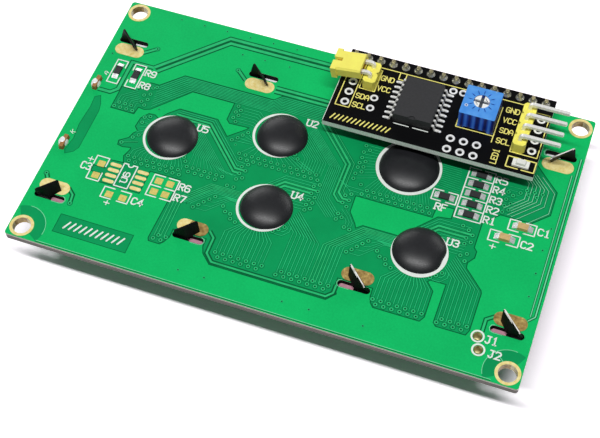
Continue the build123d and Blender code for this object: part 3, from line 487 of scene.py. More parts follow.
# Painted shade at the edges of tracks, buses and via rings
steps = board_layer("track_edge_shade", 0.012, "dark")
tracks = board_layer("tracks", 0.034, "track")
glints = board_layer("track_glints", 0.046, "ridge")
fine_edge_shade = board_layer("bus_edge_shade", 0.016, "fine_step")
fine_tracks = board_layer("bus_tracks", 0.02, "fine_track")
halos = board_layer("via_shade_halos", 0.028, "fine_step")
via_rings = board_layer("vias", 0.052, "track")
via_holes = board_layer("via_holes", 0.06, "via_hole")
legend = board_layer("legend", 0.066, "legend", "white_film")


def area(outline, edge=0.2, layer=bare):
    """A field with the copper etched away, with painted shade along the step of the copper round it."""
    layer.face(outline)
    steps.band([*outline, outline[0]], edge)


def moved(points, dx):
    return [(x + dx, y) for x, y in points]


def route(points, width=0.3, clear=0.22, layer=tracks, dx=0):
    """One track with a band of painted shade along each side of it."""
    points = moved(points, dx)
    steps.band(points, width + 2 * clear)
    layer.band(points, width)


def bus(first, last, count, width=0.15, clear=0.12, layer=fine_tracks, dx=0):
    """Tracks laid evenly between the first and the last one."""
    ends = list(zip(moved(first, dx), moved(last, dx)))
    lines = [[Vector(a).lerp(Vector(b), k / (count - 1)) for a, b in ends] for k in range(count)]
    # Painted shade along the edges of each track
    for line in lines:
        fine_edge_shade.band(line, width + 2 * clear)
    for line in lines:
        layer.band(line, width)


def vias(*places, dx=0):
    for p in moved(places, dx):
        halos.disc(p, 0.56, 16)
        via_rings.ring(p, 0.16, 0.4, 14)
        # Dark disc of painted shade in the hole
        via_holes.disc(p, 0.18, 12)


def via_row(x0, x1, y, count, dx=0):
    vias(*[(x0 + (x1 - x0) * k / (count - 1), y) for k in range(count)], dx=dx)


def specks(*places):
    """Bare via holes in the copper field, their dark centres painted shade."""
    for p in places:
        via_rings.ring(p, 0.13, 0.26, 12)
        via_holes.disc(p, 0.14, 10)


GLYPHS = {
    "1": (((1, 5), (2, 6), (2, 0)), ((0.8, 0), (3.2, 0))),
    "2": (((0, 5), (1, 6), (3, 6), (4, 5), (4, 4), (0, 0), (4, 0)),),
    "3": (((0, 5.2), (1, 6), (3, 6), (4, 5), (4, 4), (3, 3.1), (4, 2.2), (4, 1), (3, 0), (1, 0), (0, 0.8)),
          ((1.6, 3.1), (3, 3.1))),
    "4": (((3, 0), (3, 6), (0, 2), (4.4, 2)),),
    "5": (((4, 6), (0, 6), (0, 3.5), (3, 3.5), (4, 2.6), (4, 1), (3, 0), (0, 0)),),
    "6": (((4, 5.2), (3, 6), (1, 6), (0, 5), (0, 1), (1, 0), (3, 0), (4, 1), (4, 2.5), (3, 3.4), (0, 3.4)),),
    "7": (((0, 6), (4, 6), (1.6, 0)),),
    "8": (((1, 3.2), (0, 4.2), (0, 5), (1, 6), (3, 6), (4, 5), (4, 4.2), (3, 3.2), (1, 3.2), (0, 2.2),
           (0, 1), (1, 0), (3, 0), (4, 1), (4, 2.2), (3, 3.2)),),
    "9": (((0, 0.8), (1, 0), (3, 0), (4, 1), (4, 5), (3, 6), (1, 6), (0, 5), (0, 3.6), (1, 2.7), (4, 2.7)),),
    "A": (((0, 0), (0, 4), (1.4, 6), (2.6, 6), (4, 4), (4, 0)), ((0, 2.4), (4, 2.4))),
    "C": (((4, 5), (3, 6), (1, 6), (0, 5), (0, 1), (1, 0), (3, 0), (4, 1)),),
    "D": (((0, 0), (0, 6), (2.6, 6), (4, 4.6), (4, 1.4), (2.6, 0), (0, 0)),),
    "E": (((4, 6), (0, 6), (0, 0), (4, 0)), ((0, 3), (3, 3))),
    "F": (((4, 6), (0, 6), (0, 0)), ((0, 3), (3, 3)), ((-0.6, 0), (0.8, 0))),
    "G": (((4, 5), (3, 6), (1, 6), (0, 5), (0, 1), (1, 0), (3, 0), (4, 1), (4, 3), (2.4, 3)),),
    "J": (((1, 6), (4, 6)), ((3, 6), (3, 1), (2, 0), (1, 0), (0, 1))),
    "K": (((0, 0), (0, 6)), ((4, 6), (0, 2.4)), ((1.2, 3.5), (4, 0))),
    "L": (((0, 6), (0, 0), (4, 0)),),
    "N": (((0, 0), (0, 6), (4, 0), (4, 6)),),
    "R": (((0, 0), (0, 6), (3, 6), (4, 5), (4, 4), (3, 3), (0, 3)), ((1.8, 3), (4, 0)),
          ((-0.6, 0), (0.8, 0))),
    "S": (((4, 5), (3, 6), (1, 6), (0, 5), (0, 4), (1, 3), (3, 3), (4, 2), (4, 1), (3, 0), (1, 0), (0, 1)),),
    "U": (((0, 6), (0, 1), (1, 0), (3, 0), (4, 1), (4, 6)), ((-0.7, 6), (0.8, 6)), ((3.3, 6), (4.6, 6))),
    "V": (((0, 6), (2, 0), (4, 6)),),
    "+": (((0, 3), (4, 3)), ((2, 1), (2, 5))),
}


def label(layer, text, x, y, height, advance, weight, turn=0.0):
    """Plotter lettering from its lower left corner, turned by turn degrees."""
    unit = height / 6
    rotate = Matrix.Rotation(math.radians(turn), 2)
    wide = advance * 0.74 / 4
    for k, letter in enumerate(text):
        for line in GLYPHS[letter]:
            places = [Vector((k * advance + px * wide, py * unit)) for px, py in line]
            layer.stroke([Vector((x, y)) + rotate @ place for place in places], weight)


# Back of the display board: etched fields and copper islands

area([(-30.9, 5.2), (-28.9, 7.1), (-20.9, 7.1), (-17.7, 3.85), (-14.6, 6.7), (-14.4, 7.15), (-18.4, 6.95),
      (-19.2, 7.7), (-19.2, 11.85), (-28.1, 11.85), (-34.4, 5.2), (-35.6, 4.7), (-36.9, 4.9), (-37.1, 3.1),
      (-42.1, 3.1), (-42.1, 8.6), (-38.9, 8.6), (-37, 11.3), (-35.1, 11.3), (-31.1, 15.15), (-12.1, 15.15),
      (-10.7, 16.65), (40.6, 16.65), (42.4, 14.8), (45.75, 11.5), (45.75, 6.2), (42.9, 3.4), (37, 3.4),
      (34.3, 0.6), (34.3, -5), (34.95, -5.7), (34.95, -7.1), (34, -8.5), (34.1, -9.6), (37.85, -13.3),
      (38.05, -13.9), (38.05, -21.7), (37.6, -22.75), (32.2, -22.8), (31.6, -22.2), (31.6, -14.1),
      (28.6, -14.15), (28.3, -14.6), (29.75, -16.2), (29.8, -21.7), (29.2, -22.75), (20.6, -22.8),
      (19.9, -22), (19.5, -20.9), (19.4, -19.1), (12.8, -19.1), (12.8, -20.9), (13.6, -22.3), (12.1, -24),
      (-10.3, -24), (-12.2, -22.2), (-12.8, -20.8), (-12.8, -19.1), (-19.4, -19.1), (-19.4, -20.9),
      (-20, -22.2), (-20.6, -22.9), (-22.8, -22.9), (-23.1, -22.3), (-22.75, -13.9), (-22.3, -8.5),
      (-28.6, -8.5), (-28.6, -13.85), (-37.2, -13.85), (-37.2, -12), (-39.5, -12), (-39.5, -10.6),
      (-37.2, -10.6), (-37.2, -8.5), (-34.3, -8.3), (-34.9, -6.8), (-34.3, -5), (-34.4, -4.6), (-36, -4.9),
      (-37.1, -4.7), (-37.3, -3.7), (-35.7, -2.5), (-35.3, -1.2), (-34.7, -0.5), (-35.6, 0.4), (-35.4, 2.6),
      (-34.3, 4.1), (-33, 4.2), (-31.9, 3.5)])
area([(-46.2, 4.6), (-45.2, 5.2), (-44.3, 3.2), (-43.95, 1.5), (-43.95, -7.8), (-44.6, -9), (-46, -9.9),
      (-46.4, -9), (-45.9, -6), (-46.3, -2.5), (-46, 2)], 0.1)
area([(-40.6, -22.75), (-25.8, -22.75), (-25.8, -26.75), (-40.6, -26.75)], 0.12)
area([(10.25, -1.2), (25.2, -1.2), (25.4, 1.9), (28.6, 1.9), (28.6, -0.4), (26.2, -0.75), (24, -3.2),
      (20.4, -7.05), (13.6, -7.05), (12.5, -8), (12.1, -7.2), (10.4, -4.9)], layer=patches)

# Long tracks in the copper field, the first two in pairs
for points, step, width, apart in (([(2.0, 26.45), (-25.7, 26.45), (-37.4, 14.75)], 2.3, 0.62, 0.58),
                                   ([(-12.7, 17.6), (2.0, 17.6)], 2.1, 0.55, 0.5)):
    steps.band(points, step)
    for side in (-apart, apart):
        tracks.band(points, width, side)
route([(-46.4, 6.6), (-43.8, 6.6), (-42.6, 7.8), (-42.6, 15), (-37.9, 15)], 0.6, 0.24)
route([(-41.7, 17.7), (-39.2, 19.7)], 0.5, 0.24)
route([(-19.2, 17.9), (-21.4, 19.8)], 0.5, 0.24)
route([(-41.8, -17), (-40.4, -18.2), (-40.1, -20)], 0.35, 0.3)
route([(-46.6, -16.2), (-47.2, -15.3)], 0.4, 0.3)
route([(-12.8, -17.3), (-11.6, -18.5), (-11.6, -21.9), (-10.1, -23.4), (11.9, -23.4), (13, -22.3),
       (13, -20.6)], 0.36, 0.3)
route([(42, -17.2), (40.2, -18.6), (40.2, -21.2)], 0.4, 0.25)
# Tracks along the right edge and lines along the near edge drawn as painted highlights, with painted shade
# beside them
route([(47.45, 16.2), (47.45, -15.6)], 0.16, 0.12, glints)
route([(48.3, 20.4), (48.3, -15.4), (47.2, -16.6)], 0.22, 0.16, glints)
glints.band([(-42.6, -29.6), (44.0, -29.6)], 0.12)
steps.band([(-42.6, -29.78), (44.0, -29.78)], 0.16)
glints.band([(44.1, -24.6), (45.2, -25.7)], 0.14)

# Painted highlights along the open ends of the slots, and etched rings with arcs of painted highlight round
# the front mounting holes
SLOT_RIM = ((0.7, -0.8), (2.4, -0.8), (2.95, -0.6), (3.22, 0.0), (2.95, 0.6), (2.4, 0.8))
for x, y, width in ((44.4, TAB_Y, 0.26), (44.4, -TAB_Y, 0.13), (-44.4, -TAB_Y, 0.13), (-16.1, -TAB_Y, 0.12),
                    (16.1, -TAB_Y, 0.1)):
    rim = [(x - math.copysign(a, x), y + b) for a, b in SLOT_RIM]
    glints.band(rim if y < 0 else rim[1:], width)
for x, start, turn in ((-MOUNT_X, -8, 100), (MOUNT_X, 82, 118)):
    bare.ring((x, -MOUNT_Y), 2.35, 4.5, 48, start - 22, 150)
    glints.ring((x, -MOUNT_Y), 4.42, 4.54, 48, start, turn)

# Buses and fans between the chips; two of the chips have like surroundings
CHIP_SHIFT = 30.25
bus([(-18, 14.85), (-31, 14.85), (-35.2, 10.7)], [(-18, 12.15), (-28.3, 12.15), (-34.6, 5.8)], 9)
bus([(-1, 16.3), (-10.6, 16.3), (-12.1, 14.85), (-18.2, 14.85)],
    [(-1, 13.2), (-9.9, 13.2), (-10.9, 12.15), (-18.2, 12.15)], 9)
bus([(-38.6, 8.7), (-41.3, 6.6), (-41.6, 4.2)], [(-36.9, 6), (-37.6, 5.6), (-37.7, 4.1)], 7)
bus([(-17, 11.4), (-13.6, 11.4), (-12.2, 10.2)], [(-17, 7.9), (-14, 7.9), (-12.8, 7.4)], 6)
bus([(-28.4, 6.75), (-21.3, 6.75), (-13.7, -0.85), (-11.6, -1.1)],
    [(-28.6, 6.3), (-21.5, 6.3), (-13.4, -1.85), (-12.6, -1.85)], 2)
route([(-29, 5.7), (-21.75, 5.7), (-13.45, -2.6), (-11.6, -2.6)], 0.42, 0.16)
route([(-26, 5.05), (-22.1, 5.05), (-13.6, -3.45), (-12.6, -3.45)], 0.42, 0.16)
bus([(-23, 3.9), (-15.2, -3.9), (-12.6, -4.3)], [(-23, -1.2), (-22.2, -2.2), (-22.2, -5)], 13, 0.13, 0.1)
bus([(-32, -3.4), (-33.7, -5), (-33.9, -6.3)], [(-24.3, -3.8), (-23.2, -5.6), (-23.1, -7.3)], 15)
bus([(-33.4, 2.6), (-34.6, 3)], [(-33.4, -0.5), (-34.9, -2)], 5)
route([(-33.6, -2.9), (-36.5, -3.9)], 0.16, 0.12)
bus([(-11.8, 3.4), (-13.8, 1.2)], [(-4, 3.6), (1.6, 1)], 13)
bus([(-13, 5), (-14.2, 5.9)], [(-12.4, 3.6), (-16.3, 3.4)], 4)
bus([(-3, 9.6), (2.6, 4), (2.6, 0.8)], [(-3.2, 5.4), (-1.6, 3.8), (-1.6, 1.2)], 9, 0.13, 0.1)
bus([(-2.4, 11.8), (5.6, 3.8), (5.6, -3.2), (9, -6.6)], [(-2.8, 9.9), (3.4, 3.7), (3.4, -4.6), (6.6, -7.5)],
    7, 0.13, 0.1)
route([(-1.5, 13), (6.25, 5), (6.25, -2.2), (7.45, -3.4), (8.2, -3.4)], 0.34, 0.14)
route([(-0.1, 12.8), (7, 5.3), (7, -1.5), (8.1, -2.6), (9.3, -2.6)], 0.42, 0.14)
route([(1.2, 12.5), (7.75, 5.6), (7.75, -0.9), (8.3, -1.7)], 0.16, 0.12)
bus([(9, 10.6), (12, 10.6)], [(9, 2.6), (12.6, 3.9)], 12, 0.13, 0.1)
bus([(12.9, 3.6), (11.3, 0.9)], [(22.8, 3.6), (24.5, -0.2)], 21, 0.13, 0.1)
bus([(11.5, 0.4), (8.2, 0.4), (6, 1.4)], [(9.6, -1.1), (9.4, -1.1), (8.3, 0)], 3, 0.13)
bus([(9, -4.2), (10.6, -5.8), (11.6, -7.2), (11.5, -8.5)],
    [(8.6, -5.6), (9.8, -6.4), (10.4, -7.2), (10.4, -8.3)], 3, 0.13)
for dx in (0, CHIP_SHIFT):
    bus([(-6.9, -4.4), (-3.6, -1.1), (2.6, -1.1)], [(-6.1, -4.2), (-3.6, -1.75), (1.8, -1.75)], 2, dx=dx)
    route([(-4.9, -4), (-3.4, -2.55), (3, -2.55)], 0.42, 0.14, dx=dx)
    route([(-4, -4.2), (-3.2, -3.4), (1.9, -3.4)], 0.42, 0.14, dx=dx)
    bus([(-2.7, -4.4), (-2.4, -4.1), (2.9, -4.1)], [(-1, -7.3), (-0.6, -7.3), (2, -7.3)], 6, dx=dx)
    bus([(1.4, -7.8), (7.2, -13.5), (7.2, -20.9)], [(0.2, -10.8), (1.9, -12.5), (1.9, -21.7)], 8, dx=dx)
    bus([(-7.9, -14), (-10.2, -16.3), (-10.2, -21)], [(-3, -14), (-1.1, -16.1), (-1.1, -21)], 13, dx=dx)
    low = -20.9 if dx else -12.5
    bus([(-10, -7.45), (-16.45, -7.45), (-22.25, -13.25), (-22.25, -21.5)],
        [(-10.1, -8.3), (-15.6, -8.3), (-20.4, -13.1), (-20.4, -21.2)], 4, 0.17, 0.12, tracks, dx=dx)
    bus([(-10.1, -8.6), (-15.5, -8.6), (-19.8, -12.9), (-19.8, low)],
        [(-10.2, -9.2), (-15.05, -9.2), (-18.5, -12.65), (-18.5, low - 0.4)], 3, 0.15, 0.1, dx=dx)
    bus([(-17.2, -13.45), (-15.3, -13.45), (-11.6, -9.8), (-10.2, -9.8)],
        [(-14.1, -10.2), (-13.6, -9.9), (-12.6, -9.3), (-10.2, -9.3)], 4, 0.13, 0.1, dx=dx)
    bus([(-1.6, -13.95), (0.1, -13.95), (1.2, -12.8), (1.2, -11.6)],
        [(-0.6, -13.1), (0.1, -13.1), (0.6, -12.4), (0.6, -11.6)], 2, dx=dx)
    via_row(-10.2, -1.1, -21.2, 7, dx=dx)
    via_row(-9.4, -1.9, -22.1, 6, dx=dx)
    vias((-14.65, -9.9), (-15.5, -10.8), (-16.3, -11.7), (-17, -12.6), (-17.8, -13.4), (-12.5, -11.4),
         (-11.7, -12.4), (-10.6, -12.6), (-10.2, -13.6), (-9.1, -14), (-1.8, -13.6), (-0.9, -12.9),
         (0, -12.05), dx=dx)
via_row(2.7, 11.7, -21.2, 7)
via_row(1.9, 11.0, -22.1, 7)
via_row(32.8, 37.4, -21.1, 4)
via_row(32.1, 36.6, -22.0, 4)
vias((-22.2, -22.1), (-21.5, -21.2), (-20.7, -22.1), (-20, -21.2))
vias((3.1, -1.1), (2.1, -1.75), (3.2, -2.6), (2.2, -3.4), (3.1, -4.1), (2.2, -4.9), (3.1, -5.4), (2.1, -6.1),
     (3.1, -6.7), (2.2, -7.3))
vias((31.1, -1.1), (32.35, -1.75), (33.3, -2.6), (32.35, -3.5), (33.4, -4.15), (32.35, -4.8), (33.4, -6.75),
     (32.35, -7.4), (33.4, -8.35))
vias((-11.4, -1.1), (-12.4, -1.9), (-11.4, -2.6), (-12.3, -3.5), (-11.4, -4.3), (-12.4, -4.9))
vias((-36, 10.2), (-35.3, 10.6), (-35.9, 8.6), (-37, 8), (-35.9, 7.2), (-36.9, 6.4), (-36, 5.7))
via_row(-41.0, -38.4, 4.8, 3)
via_row(-41.6, -37.7, 3.7, 4)
vias((-18.2, 11.4), (-17.4, 10.6), (-18.2, 9.9), (-17.4, 9.3), (-18.2, 8.5), (-17.4, 7.7))
vias((-14.1, 6), (-14.9, 5.1), (-15.6, 4.2), (-16.5, 3.4))
vias((-3.4, 5), (-3.7, 4), (-2.9, 3.2))
via_row(-14.0, 1.7, 0.85, 13)
via_row(-13.3, 2.3, -0.2, 13)
via_row(11.9, 23.7, 0.55, 10)
via_row(11.2, 24.4, -0.5, 11)
vias((8.6, 10.4), (9.6, 9.6), (8.6, 8.8), (8.7, 7.5), (9.6, 6.8), (8.6, 6.2), (9.6, 5.5), (8.6, 5.1),
     (9.6, 4.3), (8.6, 3.6), (8.6, 2.4), (10.4, 1.5))
vias((9.4, -1.15), (8.4, -1.75), (9.4, -2.6), (8.4, -3.45), (9.4, -4.1), (8.4, -6), (9.3, -6.6), (8.4, -7.3),
     (10.4, -8.5), (11.5, -8.7))
vias((-34.7, 3), (-33.7, 3.5), (-34.7, 1.7), (-35, -2.2), (-34.1, -1.35), (-36.6, -4))
via_row(-34.1, -23.7, -6.5, 9)
via_row(-33.5, -23.1, -7.5, 9)
via_row(-22.4, -15.1, -5.25, 7)
via_row(-21.7, -16.2, -6.25, 5)
vias((-23.7, -3.4), (-23.1, -4.2), (-13.5, -6.8), (-12.2, -6.8))
vias((-39.1, 19.75), (-21.5, 19.85), (-47.3, -15.2), (-40.1, -20.1))
specks((-37.4, 28.6), (-32.3, 28.6), (-27.3, 28.6), (-22.2, 28.6), (-17.2, 28.6), (-12.1, 28.6),
       (-22.1, 23.9), (-17.3, 23.9), (-12, 23.9), (-47.4, 15.8), (-32.8, 5.7), (-15.2, -26.9), (-10.1, -26.9),
       (4.9, -26.9), (10, -26.9), (20.1, -26.9), (46.2, -1.6), (46.2, -6.7), (46.2, -11.7), (46.6, 3.4),
       (-15.4, 2.5))

# Bus that comes out from under the adapter on the right, its tracks drawn as painted highlights with painted
# shade along them
for x, bottom in ((40.3, 8.2), (41.05, 8.1), (41.8, 8.1), (42.6, 8.2), (43.35, 8), (44.2, 7.6), (45.35, 6.4)):
    top = 11.9 - (x - 40.3) * 0.16
    reach = 4.4 if x > 42 else 3.2
    route([(x - 3, top + 3), (x, top), (x, bottom), (x - reach, bottom - reach)], 0.13, 0.1, glints)
vias((40.3, 10.2), (41.8, 10.2), (43.3, 10.2), (37.1, 7.1), (37.1, 5.6), (38.1, 6.4), (37.1, 4.1),
     (38.1, 4.9), (38.1, 8.3), (37.1, 8.8), (39.3, 9.3), (40.8, 9.3), (42.4, 9.2))
bus([(23.9, 11), (27.5, 11)], [(24, 6), (28.4, 5.6)], 12, 0.12, 0.1)
bus([(36.9, 10.2), (39.6, 10.2)], [(36.9, 3.9), (39, 3.9)], 9, 0.12, 0.1)

# White legend of the display board
for center, inner, outer in (((-28.1, 0.05), 4.8, 5.28), ((-8.07, 7.33), 4.8, 5.28),
                             ((-5.1, -9.27), 4.8, 5.28), ((25.17, -9.22), 4.3, 5.28),
                             ((17.83, 8.15), 5.7, 6.33)):
    legend.ring(center, inner, outer, 72)
for x0, y0, x1, y1, gaps in (
        (-45.6, 8.85, -43.35, 14.75, (("e", 2.6),)), (-41.65, 8.85, -39.35, 14.75, (("w", 2.6),)),
        (-33.95, -13.7, -31.2, -8.4, (("n", 1),)), (-39.65, -13.85, -37.1, -8.35, (("e", 1.6), ("w", 1.6))),
        (-35.35, -16.85, -29.85, -14.45, (("n", 1.3), ("s", 1.3))),
        (-27.4, -13.7, -22.3, -11.3, (("n", 0.8), ("s", 0.8))),
        (-27.4, -11.3, -22.3, -8.85, (("n", 0.8), ("s", 0.8))),
        (23.75, 2.75, 28.45, 5.1, (("n", 1), ("s", 1))), (39, 0.75, 44, 3.1, (("n", 1), ("s", 1))),
        (36.1, -2.55, 41.7, -0.2, (("n", 1.4), ("s", 1.4)))):
    legend.frame_box(x0, y0, x1, y1, INK, gaps)

# Printed frame round the column of five resistors
STACK_LEFT = 28.9
STACK_RIGHT = 33.9
STACK_FOOT = 0.3
STACK_PITCH = 2.33
legend.stroke([(STACK_LEFT, STACK_FOOT), (STACK_RIGHT, STACK_FOOT)], INK)
for k in range(1, 6):
    y = STACK_FOOT + STACK_PITCH * k
    legend.stroke([(STACK_LEFT, y), (31.0, y)], INK)
    legend.stroke([(31.8, y), (STACK_RIGHT, y)], INK)
for x in (STACK_LEFT, STACK_RIGHT):
    legend.stroke([(x, STACK_FOOT), (x, 12.0)], INK)

# Marks and lettering
legend.ring((-32.57, -8.4), 0.42, 0.66, 24, 180, 180)
for center in JUMPERS:
    legend.ring(center, 0.92, 1.24, 28)
for text, x, y in (("R9", -38.9, 12.6), ("R8", -38.9, 9.4), ("U5", -23.8, 3.3), ("U2", -4, 11.3),
                   ("U4", -1.1, -5.55), ("U3", 29.3, -6), ("C4", -29.2, -16.5), ("R6", -21.9, -10.7),
                   ("R7", -21.9, -13.2), ("RF", 25, 0.75), ("C1", 44.5, 1.3), ("C2", 42.2, -2.3),
                   ("R1", 34.3, 0.75), ("R2", 34.3, 3.1), ("R3", 34.3, 5.4), ("R4", 34.3, 7.75),
                   ("R5", 34.3, 10.1), ("J1", 41.2, -23.1), ("J2", 42.4, -25.6)):
    label(legend, text, x, y, 1.42, 1.22, 0.27)
label(legend, "C3", -41.7, -12.0, 1.5, 1.1, 0.27)
label(legend, "U6", -31.95, -12.5, 1.2, 1.3, 0.25, 90)
for x, y in ((-40.5, -9.5), (-33.5, -17.8), (37.4, -3.7)):
    label(legend, "+", x - 0.6, y - 0.7, 1.4, 1.5, 0.2)
label(legend, "A", -46.2, 10.3, 0.9, 0.8, 0.13, 60)
label(legend, "K", -46.4, -5.2, 0.9, 0.8, 0.13, 60)
for k in range(11):
    legend.stroke([(-38.9 + 1.1 * k, -25.5), (-38.1 + 1.1 * k, -24.0)], 0.34)

# Adapter board: legend and plated holes
cream = Layer("adapter_legend", ADAPTER_TOP + 0.02, mats["cream"], slot="yellow_plastic")
adapter_rings = Layer("adapter_hole_rings", ADAPTER_TOP + 0.03, mats["bright_solder"], slot="tinned_lead")
hole_shades = Layer("adapter_hole_shades", ADAPTER_TOP - 0.25, mats["shade"], slot="black_board")
adapter_white = Layer("adapter_white_legend", ADAPTER_TOP + 0.02, mats["legend"], slot="white_film")


def plated(x, y, outer=0.86, inner=0.46):
    adapter_rings.ring((x, y), inner, outer, 28)
    hole_shades.disc((x, y), inner + 0.02, 20)


for row in range(4):
    y = 15.9 + PIN_PITCH * row
    plated(2.32, y)
    plated(39.12, y)
for x, y in ((7.44, 15.9), (7.44, 18.44), (21.41, 24.9), (23.35, 25.0)):
    plated(x, y, 0.8, 0.42)
for column in range(3):
    for row in range(2):
        plated(26.5 + PIN_PITCH * (column - 1), 12.66 + PIN_PITCH * (row - 0.5))
cream.frame_box(0.72, 14.72, 3.5, 25.3)
cream.frame_box(3.9, 19.9, 7.0, 25.3)
cream.frame_box(35.25, 14.55, 40.45, 24.9)
cream.frame_box(35.3, 11.1, 40.65, 13.55, INK, (("n", 0.7), ("s", 0.7)))
cream.stroke([(6.5, 26.0), (35.2, 26.0)])
cream.stroke([(31.45, 15.5), (31.45, 24.1)])
cream.stroke([(24.1, 16.95), (31.45, 16.95)])
cream.stroke([(24.1, 16.95), (24.1, 24.1)])
adapter_white.stroke([(12.7, 13.95), (15.7, 13.95)])
adapter_white.stroke([(16.5, 13.95), (19.5, 13.95)])
cream.frame_box(10.5, 24.3, 11.8, 26.0)
# Painted highlight along the adapter's left edge, in the white legend material
adapter_white.band([(-0.32, 10.4), (-0.32, 24.6)], 0.1)
for text, x, y in (("GND", 7.3, 23.05), ("VCC", 7.3, 20.5), ("SDA", 3.95, 17.45), ("SCL", 3.95, 15.2),
                   ("GND", 32.25, 23.3), ("VCC", 32.25, 20.8), ("SDA", 32.25, 18.25), ("SCL", 32.25, 15.75)):
    label(cream, text, x, y, 1.15, 0.92, FINE_INK)
label(cream, "LED1", 33.45, 10.95, 1.1, 0.88, FINE_INK, 90)
for k in range(14):
    cream.stroke([(0.9 + 0.85 * k, 11.3), (1.5 + 0.85 * k, 12.5)], 0.26)

for layer in (bare, patches, steps, fine_edge_shade, fine_tracks, halos, tracks, glints, via_rings, via_holes,
              legend, cream, adapter_rings, hole_shades, adapter_white):
    layer.make()


# Smooth resin covers that stand for the CAD domes

COVER_HEIGHT = 1.75


def resin_cover(node, x, y, radius, ripples, bite=None):
    """A satin dome with an uneven rim; bite is the angle of a dent in the rim."""
    rings, sides = 18, 72
    points = [(x, y, BOARD_BACK + COVER_HEIGHT)]
    for j in range(1, rings + 1):
        share = j / rings
        for k in range(sides):
            angle = 2 * math.pi * k / sides
            wave = sum(a * math.cos(n * angle + p) for n, a, p in ripples)
            r = radius * (1 + wave * share)
            if bite is not None:
                apart = math.degrees((angle - math.radians(bite) + math.pi) % (2 * math.pi) - math.pi)
                r *= 1 - 0.085 * share ** 3 * math.exp(-(apart / 17) ** 2)
            lift = COVER_HEIGHT * (1 - share ** 2.3) ** 0.72
            reach = r * share
            points.append((x + reach * math.cos(angle), y + reach * math.sin(angle), BOARD_BACK + lift))
    faces = [(0, 1 + k, 1 + (k + 1) % sides) for k in range(sides)]
    for j in range(rings - 1):
        a, b = 1 + j * sides, 1 + (j + 1) * sides
        faces += [(a + k, b + k, b + (k + 1) % sides, a + (k + 1) % sides) for k in range(sides)]
    obj = piece(node + "_resin", points, faces, mats["black_resin"])
    obj.data.shade_smooth()
    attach(obj, "module")
    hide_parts(node)


resin_cover("chip_cover_1", 17.9, 8.25, 5.8, ((2, 0.006, 1.0), (3, 0.008, 0.4)))
resin_cover("chip_cover_2", -7.5, 7.4, 5.05, ((2, 0.014, 2.2), (3, 0.012, 0.6), (5, 0.005, 1.0)))
resin_cover("chip_cover_3", 25.05, -8.8, 5.05, ((2, 0.008, 0.2), (3, 0.008, 2.0)), -8)
resin_cover("chip_cover_4", -4.68, -8.98, 5.02, ((2, 0.006, 0.5), (3, 0.008, 1.4)))
resin_cover("chip_cover_5", -27.66, 0.4, 5.05, ((2, 0.01, 1.2), (3, 0.01, 2.5), (4, 0.006, 0.3)))


# Smooth lands, solder and hole barrels that stand for the faceted ones

def solid(name, points, faces, material, node=None, smooth=True, body="module"):
    """One mesh on the frame from points in millimetres, in place of a CAD node if one is named."""
    obj = piece(name, points, faces, material)
    if smooth:
        obj.data.shade_smooth()
        obj.data.set_sharp_from_angle(angle=math.radians(40))
    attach(obj, body)
    if node:
        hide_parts(node)


def prism(points, faces, outline, low, high):
    """Adds an upright plate of the outline, from low to high."""
    start, count = len(points), len(outline)
    points += [(x, y, z) for z in (low, high) for x, y in outline]
    faces.append(list(range(start + count, start + 2 * count)))
    faces.append(list(range(start + count - 1, start - 1, -1)))
    faces += [(start + k, start + (k + 1) % count, start + count + (k + 1) % count, start + count + k)
              for k in range(count)]


def pill(x, y, length, width, corner=None, sides=10):
    """Outline of a plate with rounded ends, or rounded corners if a corner radius is given."""
    r = corner or min(length, width) / 2
    out = []
    for sx, sy, first in ((1, 1, 0), (-1, 1, 90), (-1, -1, 180), (1, -1, 270)):
        for k in range(sides + 1):
            a = math.radians(first + 90 * k / sides)
            px = x + sx * (length / 2 - r) + r * math.cos(a)
            py = y + sy * (width / 2 - r) + r * math.sin(a)
            out.append((px, py))
    return out


def tube(points, faces, x, y, profile, sides):
    """Adds a turned ring from a closed profile of (radius, z) points."""
    start, count = len(points), len(profile)
    for k in range(sides):
        a = 2 * math.pi * k / sides
        points += [(x + r * math.cos(a), y + r * math.sin(a), z) for r, z in profile]
    for k in range(sides):
        a, b = start + k * count, start + ((k + 1) % sides) * count
        faces += [(a + j, b + j, b + (j + 1) % count, a + (j + 1) % count) for j in range(count)]


def sleeve(inner, outer, low, high):
    """Profile of a ring with square edges."""
    return (inner, low), (outer, low), (outer, high), (inner, high)


LAND_TOP = edge_of("board_lands", 1, 2)
LAND_RADIUS = 2.3
MOUNTS = [(x, y) for x in (-MOUNT_X, MOUNT_X) for y in (-MOUNT_Y, MOUNT_Y)]
points, faces = [], []
for x, y in MOUNTS:
    tube(points, faces, x, y, sleeve(MOUNT_HOLE, LAND_RADIUS, BOARD_BACK, LAND_TOP), 64)
for x in TAB_X_PLACES:
    for y in (-17.6, 17.6):
        prism(points, faces, pill(x, y, 6.1, 2.8), BOARD_BACK, LAND_TOP)
for side in (-1, 1):
    for k in range(4):
        pad = pill(-32.52 + side * 2.825, -11.23 + 1.28 * (k - 1.5), 2.3, 0.75)
        prism(points, faces, pad, BOARD_BACK, LAND_TOP)
solid("board_lands_smooth", points, faces, mats["gold_land"], "board_lands")
points, faces = [], []
for x, y in ((-38.15, -9.9), (-38.15, -12.7), (-33.9, -15.9), (-31.1, -15.9), (-26.1, -10.1), (-23.8, -10.1),
             (-26.1, -12.6), (-23.8, -12.6)):
    prism(points, faces, pill(x, y, 1.45, 1.35, 0.12, 4), BOARD_BACK, LAND_TOP)
solid("spare_lands_smooth", points, faces, mats["tan"], "board_lands")

